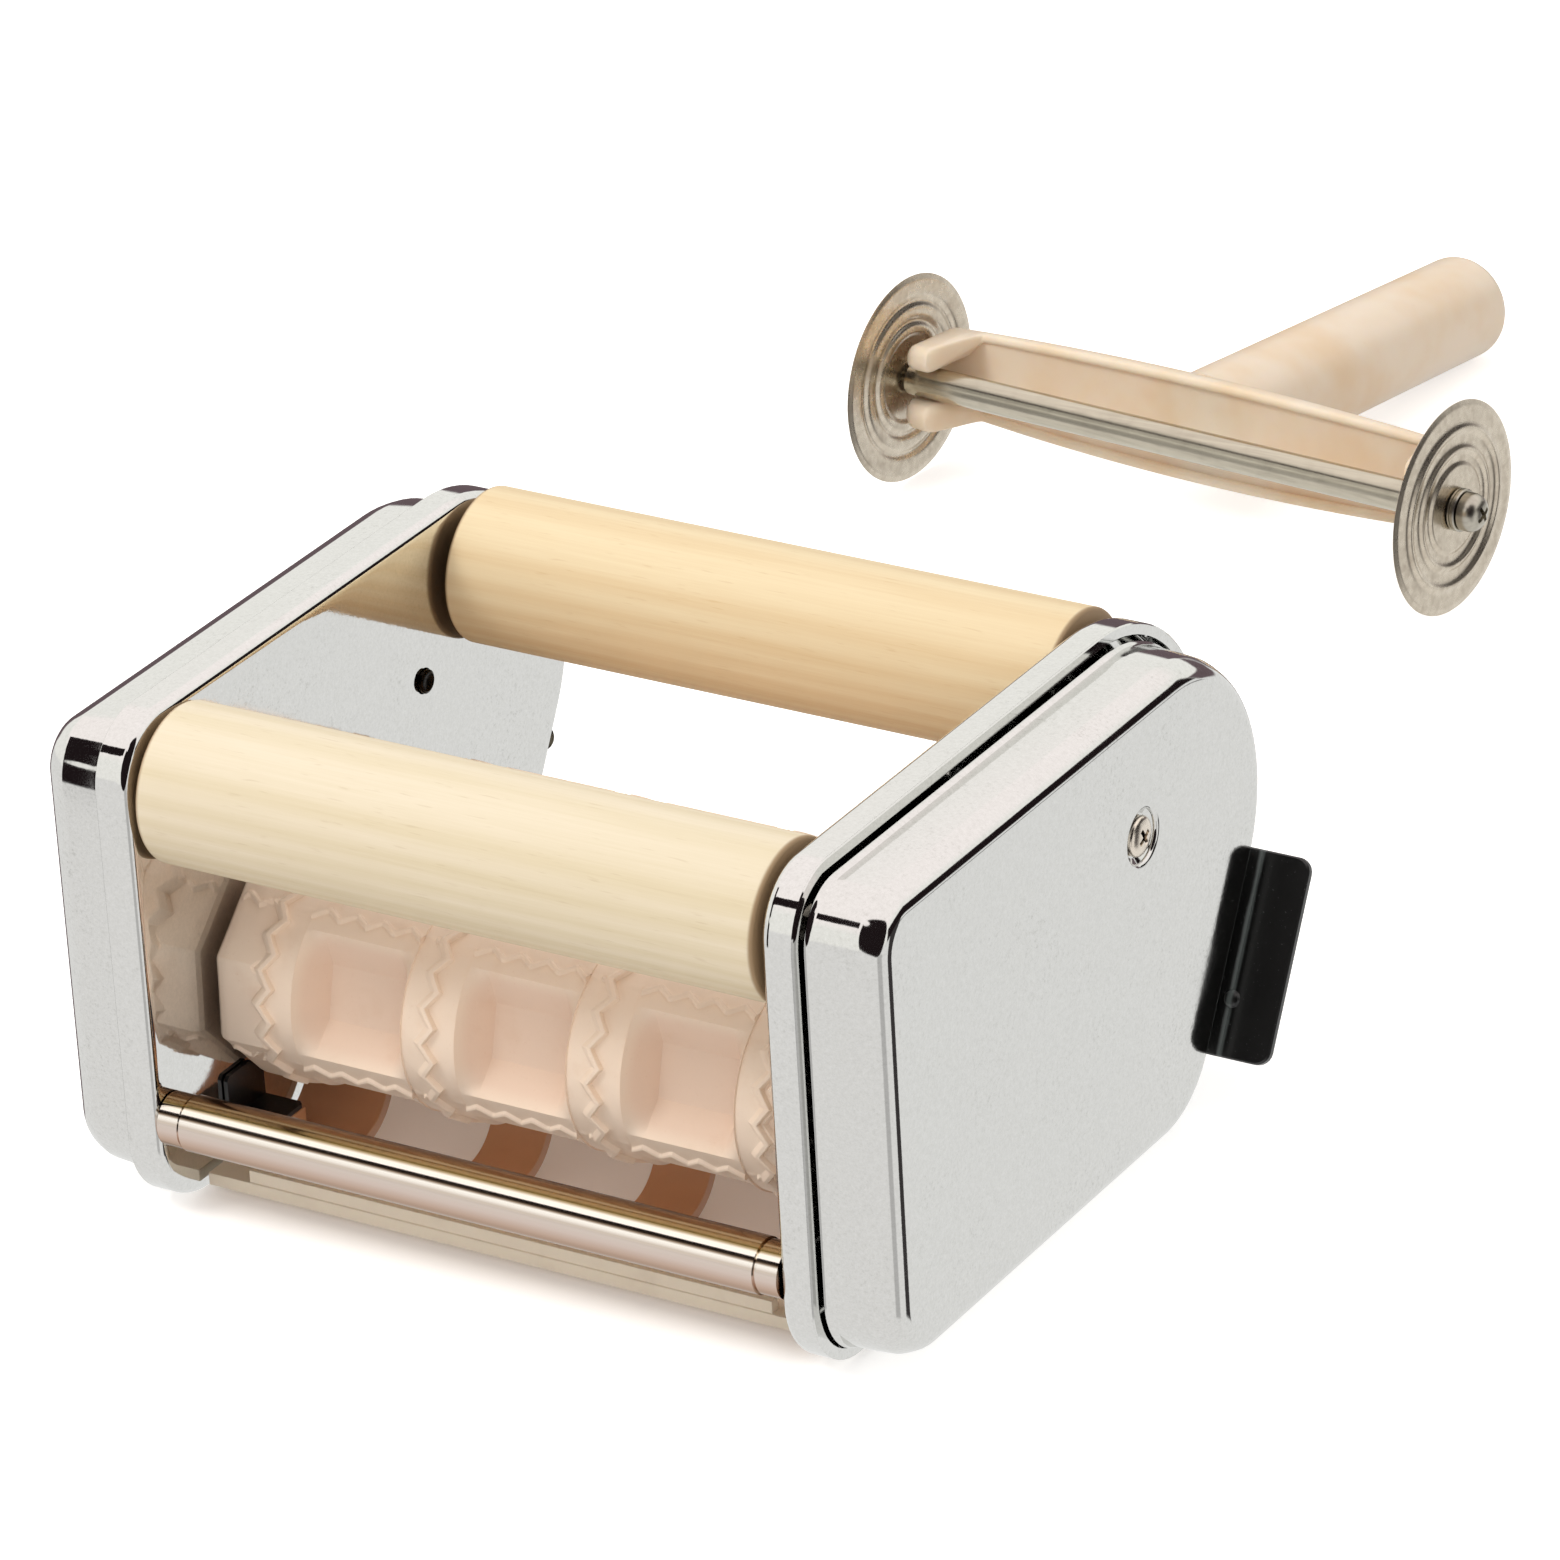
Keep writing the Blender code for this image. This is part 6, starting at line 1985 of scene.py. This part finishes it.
    def washer(self) -> Shape:
        """Flat washer and spring washer in one, with a groove where they meet.

        Returns:
            The right washer.
        """
        start = self.hub_face() + LAYOUT.gap
        end, rim, ease = start + self.washer_thickness, self.washer_radius, 0.0003
        waist = (start + end) / 2
        path = [(start, 0.002), (start, rim - ease), (start + ease, rim), (waist - 0.0003, rim),
                (waist - 0.0002, rim - ease), (waist, rim - ease), (waist + 0.0001, rim),
                (end - ease, rim), (end, rim - ease), (end, 0.002)]
        return lathe(path, 48, True)

    def build(self, cream: Material, disc: Material, rod: Material, steel: Material) -> None:
        """Make the cutter's pieces.

        Args:
            cream: Plastic of yoke and grip.
            disc: Steel of the wheels.
            rod: Steel of the rod.
            steel: Steel of screws and washers.
        """
        held = self.stand() @ self.tilt()
        add_piece("cutter_fork", to_mesh("fork", self.channel().placed(held)), cream, "cutter",
                  ("cutter_yoke",), Edge(angle=math.radians(40)))
        add_piece("cutter_grip", to_mesh("grip", self.grip().placed(held)), cream, "cutter", ())
        end = self.spacing / 2 - self.disc / 2 - LAYOUT.gap
        path = [(-end, 0.001), (-end, self.rod - 0.0003), (-end + 0.0003, self.rod),
                (end - 0.0003, self.rod), (end, self.rod - 0.0003), (end, 0.001)]
        add_piece("cutter_rod", to_mesh("rod", lathe(path, 56).placed(self.stand())), rod,
                  "cutter_wheels", ("cutter_axle",))
        stand = self.stand()
        for side, word in SIDES:
            wheel = to_mesh("disc", self.wheel().on_side(side).placed(stand))
            add_piece(f"{word}_cutting_disc", wheel, disc, "cutter_wheels",
                      (f"cutter_wheel_{word}",), Edge(angle=math.radians(60)))
            washer = to_mesh("washer", self.washer().on_side(side).placed(stand))
            add_piece(f"{word}_disc_washer", washer, steel, "cutter_wheels",
                      (f"cutter_washer_{word}",))
            add_piece(f"{word}_disc_screw", self.screw.mesh(self.seat(), side, stand), steel,
                      "cutter_wheels", (f"cutter_screw_{word}",))


# Studio


@dataclass(frozen=True)
class Lamp:
    """Square soft lamp."""

    name: str
    place: Point
    size: float
    power: float
    colour: Colour


@dataclass(frozen=True)
class Panel:
    """Dark panel of the room: spans of bearings in degrees and of heights, soft edges, darkness."""

    bearings: tuple[float, float]
    heights: tuple[float, float]
    side_edge: float
    level_edge: float
    share: float = 1.0


@dataclass
class Studio:
    """Pale table, soft light and the camera at the photograph's view.

    Mirrors show a bright room over a pale floor. Its dark places are the panels along the back
    and at the right, warm panels low at the back and the left, a beam overhead, a screen at the
    front left and a round block at the front right; each has soft edges."""

    camera_place: Point = (0.9457, -1.4615, 0.9256)
    right: Point = (0.8556, 0.5150, -0.0527)
    up: Point = (-0.1871, 0.4026, 0.8960)
    focal_pixels: float = 9046.2
    image_pixels: float = 1560.0
    floor_size: float = 6.0
    floor_drop: float = 0.0002
    aim: Point = (0.0, -0.12, 0.05)
    lamps: tuple[Lamp, ...] = (
        Lamp("key", (-0.75, -0.95, 1.35), 0.6, 12.0, (1.0, 0.985, 0.96)),
        Lamp("fill", (1.10, -1.05, 0.95), 1.0, 4.0, (1.0, 0.99, 0.97)),
        Lamp("top", (0.00, 0.05, 1.50), 1.2, 6.0, (1.0, 1.0, 1.0)),
    )
    panels: tuple[Panel, ...] = (
        Panel((0, 65), (-0.03, 0.34), 2, 0.02),
        Panel((40, 65), (-0.17, -0.13), 2, 0.012, 0.75),
        Panel((12, 40), (-0.55, 0.0), 1.5, 0.02, 0.96),
        Panel((-46, -22), (-0.60, -0.20), 4, 0.03, 0.38),
    )
    warm_panels: tuple[Panel, ...] = (
        Panel((65, 105), (-0.10, 0.14), 2, 0.02),
        Panel((105, 165), (-0.50, 0.14), 3, 0.03),
    )
    dark: Colour = (0.014, 0.009, 0.010)
    warm: Colour = (0.15, 0.11, 0.12)
    sky: tuple[Colour, Colour] = ((1.03, 1.02, 0.98), (1.16, 1.09, 1.07))
    ground: tuple[Colour, Colour] = ((0.88, 0.87, 0.86), (0.88, 0.88, 0.87))
    matt_light: Colour = (0.60, 0.60, 0.60)
    white: Colour = (1.0, 1.0, 1.0)

    def camera(self) -> None:
        """Camera whose axes are the photograph's; the lens is 36 mm times focal over image size."""
        data = bpy.data.cameras.new("photo_view")
        data.sensor_width = 36.0
        data.lens = 36.0 * self.focal_pixels / self.image_pixels
        data.clip_start, data.clip_end = 0.05, 50.0
        item = bpy.data.objects.new("photo_view", data)
        right = Vector(self.right).normalized()
        up = Vector(self.up)
        up = (up - right * up.dot(right)).normalized()
        back = right.cross(up)
        matrix = Matrix((right, up, back)).transposed().to_4x4()
        matrix.translation = Vector(LAYOUT.at(*self.camera_place))
        item.matrix_world = matrix
        bpy.context.scene.collection.objects.link(item)
        bpy.context.scene.camera = item

    def floor(self) -> None:
        """Flat pale table. Camera rays see it brighter, so that it reads as white paper, and in
        a brown shade under the machine."""
        half = self.floor_size / 2
        corners = [(x, y, -self.floor_drop) for x, y in rectangle(-half, half, -half, half)]
        mesh = bpy.data.meshes.new("table")
        mesh.from_pydata(corners, [], [(0, 1, 2, 3)])
        material, graph, shader = surface("table_paper", {"Roughness": 0.9, "Specular IOR Level": 0.1})
        cloud = graph.noise(graph.place(), 6.0, 2.0, 0.5)
        feed(graph, shader, {"Base Color": graph.mix(cloud * 0.04, linear("e9e6e2"), linear("d8d2cb"))})
        path = graph.node("ShaderNodeLightPath")
        seen = Signal(graph, path.outputs["Is Camera Ray"])
        x, y, _ = graph.split(graph.place(LAYOUT.at(0.0, -0.035, 0.0)))
        under = x.size().step(0.092, 0.070) * y.size().step(0.078, 0.050)
        tone = graph.mix(under, self.white, (0.30, 0.22, 0.17))
        glow = graph.node("ShaderNodeEmission", {}, {"Color": tone, "Strength": seen * 0.62})
        both = graph.node("ShaderNodeAddShader", {}, {0: shader.outputs[0], 1: glow.outputs[0]})
        output = graph.tree.nodes["Material Output"]
        graph.tree.links.new(both.outputs[0], output.inputs["Surface"])
        mesh.materials.append(material)
        item = bpy.data.objects.new("table", mesh)
        item.visible_glossy = False
        bpy.context.scene.collection.objects.link(item)

    def light(self, lamp: Lamp) -> None:
        """Lamp aimed at the machine. Mirrors don't show it: they show the world.

        Args:
            lamp: The lamp's sizes.
        """
        data = bpy.data.lights.new(lamp.name, "AREA")
        data.shape = "SQUARE"
        data.size = lamp.size
        data.energy = lamp.power
        data.color = lamp.colour
        item = bpy.data.objects.new(lamp.name, data)
        bpy.context.scene.collection.objects.link(item)
        item.location = lamp.place
        way = Vector(self.aim) - Vector(lamp.place)
        item.rotation_euler = way.to_track_quat("-Z", "Y").to_euler()
        item.visible_glossy = False

    def room(self, graph: Graph) -> Socket:
        """What mirrors show in each direction (x, y, z): floor, sky and the dark places.

        Args:
            graph: The world's graph.

        Returns:
            The room's colour.
        """
        direction = graph.node("ShaderNodeTexCoord").outputs["Generated"]
        x, y, z = graph.split(direction)
        bearing = y.bearing(x)

        def near(place: Point, inner: float, outer: float) -> Signal:
            """1 within an inner angle of a direction and 0 past an outer one, in degrees.

            Args:
                place: The direction.
                inner: Inner angle.
                outer: Outer angle.

            Returns:
                The share.
            """
            d = Vector(place).normalized()
            dot = x * d.x + y * d.y + z * d.z
            return dot.step(math.cos(math.radians(outer)), math.cos(math.radians(inner)))

        def between(value: Signal, low: float, high: float, soft: float) -> Signal:
            """1 from low to high, with soft edges."""
            return value.step(low - soft, low + soft) * (1.0 - value.step(high - soft, high + soft))

        def darkest(panels: tuple[Panel, ...]) -> Signal:
            """The largest of the panels' shares.

            Args:
                panels: The panels.

            Returns:
                The largest share.
            """
            most = None
            for panel in panels:
                made = between(bearing, *panel.bearings, panel.side_edge)
                made = made * between(z, *panel.heights, panel.level_edge) * panel.share
                most = made if most is None else most.larger(made)
            return most

        overhead = y * 0.743 + z * 0.669
        beam = between(overhead, -0.095, 0.095, 0.008) * between(x, -0.75, -0.20, 0.01)
        beam = beam * z.step(0.29, 0.31)
        screen = between(x, -0.74, -0.585, 0.008) * y.step(0.01, -0.01)
        screen = screen * z.step(-0.40, -0.34) * overhead.step(0.33, 0.31)
        screen = screen * (1.0 - near((-0.645, -0.735, 0.21), 3.0, 4.5) * 0.95)
        screen = screen * (1.0 - near((-0.600, -0.775, 0.20), 3.0, 5.0) * 0.45)
        block = near((0.62, -0.66, 0.42), 36.5, 38.5) * (1.0 - near((0.19, -0.55, 0.81), 5.0, 6.5))
        shade = darkest(self.panels).larger(beam).larger(screen).larger(block)
        sky = graph.mix(z.step(0.40, 0.64), *self.sky)
        ground = graph.mix(y.step(-0.9, 0.9), *self.ground)
        room = graph.mix(z.step(-0.04, 0.04), ground, sky)
        room = graph.mix(darkest(self.warm_panels), room, self.warm)
        return graph.mix(shade, room, self.dark)

    def world(self) -> None:
        """White to the camera, an even soft light to matt surfaces, the room to mirrors."""
        world = bpy.data.worlds.new("studio")
        bpy.context.scene.world = world
        world.use_nodes = True
        graph = Graph(world.node_tree)
        path = graph.node("ShaderNodeLightPath")
        glossy = Signal(graph, path.outputs["Is Glossy Ray"])
        camera = Signal(graph, path.outputs["Is Camera Ray"])
        clear = Signal(graph, path.outputs["Is Transmission Ray"])
        soft = graph.mix(glossy, self.matt_light, self.room(graph))
        seen = graph.mix(camera.larger(clear), soft, self.white)
        background = graph.node("ShaderNodeBackground", {}, {"Color": seen, "Strength": 1.0})
        output = world.node_tree.nodes["World Output"]
        graph.tree.links.new(background.outputs[0], output.inputs["Surface"])

    def build(self) -> None:
        """Make camera, table, lamps and world, and set the view transform."""
        self.camera()
        self.floor()
        self.world()
        for lamp in self.lamps:
            self.light(lamp)
        bpy.context.scene.view_settings.view_transform = "Standard"


def dress_nodes(finishes: dict[str, Material]) -> None:
    """Give every CAD node that still shows the finish of its material slot.

    Args:
        finishes: Finish by the record's slot.
    """
    slots = {row["node"]: row["material_slot"] for row in frame["record"]["subparts"]}
    for name, item in frame["nodes"].items():
        if item.hide_render:
            continue
        item.data.materials.clear()
        item.data.materials.append(finishes[slots[name]])
        log.info("%s keeps its CAD form, finish %s", name, slots[name])


def main() -> None:
    """Build every piece, dress the nodes that stay, and set up the studio."""
    logging.basicConfig(level=logging.INFO, format="%(message)s")
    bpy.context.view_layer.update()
    lay = LAYOUT
    chrome = Chrome().material("chromed_sheet")
    cover_chrome = Chrome(grain=1.1, roughness=0.06).material("chromed_cover")
    steel = Steel().material("plain_steel")
    tube = Steel(tint=linear("cdc6b4"), shade=linear("9c9484"), roughness=0.14,
                 stretch=(0.02, 1.0, 1.0), amount=0.5).material("drawn_tube")
    disc = Steel(tint=linear("e0d5c3"), shade=linear("b9ab98"), roughness=0.20,
                 stretch=(1.0, 1.0, 1.0), streak_scale=500.0, amount=0.8).material("pressed_disc")
    gear = Steel(tint=linear("a5a29c"), shade=linear("6f6c68"), roughness=0.36,
                 stretch=(1.0, 1.0, 1.0)).material("gear_metal")
    brass = Steel(tint=linear("cdb27a"), shade=linear("8d743f"),
                  roughness=0.30).material("bush_brass")
    paint = BlackPaint(centre=lay.at(0, 0, 0)).material("black_paint")
    front_wood = TurnedWood(centre=lay.at(0, lay.guide_front_y, lay.guide_z)).material("front_wood")
    rear_wood = TurnedWood(light=linear("e9d6b1"), middle=linear("dfc59b"), dark=linear("c8a26f"),
                           centre=lay.at(0, lay.guide_rear_y, lay.guide_z)).material("rear_wood")
    front_mould = MouldPlastic(axis=lay.at(0, lay.front_mould_y, lay.mould_z)).material("front_mould")
    rear_mould = MouldPlastic(axis=lay.at(0, lay.rear_mould_y, lay.mould_z)).material("rear_mould")
    combs = Combs()
    strip_back = lay.at(0, combs.front_y + combs.strip_depth, 0)[1]
    front_comb = CombPlastic(strip_back=strip_back).material("front_comb_plastic")
    rear_comb = CombPlastic(strip_back=2 * lay.at(0, lay.nip_y, 0)[1] - strip_back,
                            finger_side=-1.0).material("rear_comb_plastic")
    cream = CreamPlastic().material("cream_plastic")

    Cheeks().build(chrome)
    nickel = Steel(tint=linear("eee4d6"), shade=linear("d2c6b6"), roughness=0.16, amount=0.3,
                   stretch=(1.0, 1.0, 1.0),
                   recess=lay.at(0, 0, lay.screw_z)).material("screw_nickel")
    Covers().build(cover_chrome, nickel)
    GuideRollers().build(front_wood, rear_wood)
    MouldRollers().build(front_mould, rear_mould)
    bright = PolishedTube(axis=lay.at(0, *lay.front_tie)).material("painted_reflection_tube")
    TieTubes().build(bright, tube)
    combs.build(front_comb, rear_comb, paint)
    HookPlates().build(paint, steel)
    CrankSocket().build(steel)
    Cutter().build(cream, disc, tube, steel)
    dress_nodes({
        "cheek_chrome": chrome, "cover_chrome": cover_chrome, "steel": steel, "tube_steel": tube,
        "gear_steel": gear, "bush_brass": brass, "black_paint": paint, "beech": front_wood,
        "mould_plastic": front_mould, "cream_plastic": cream,
    })
    Studio().build()


if __name__ == "__main__":
    main()
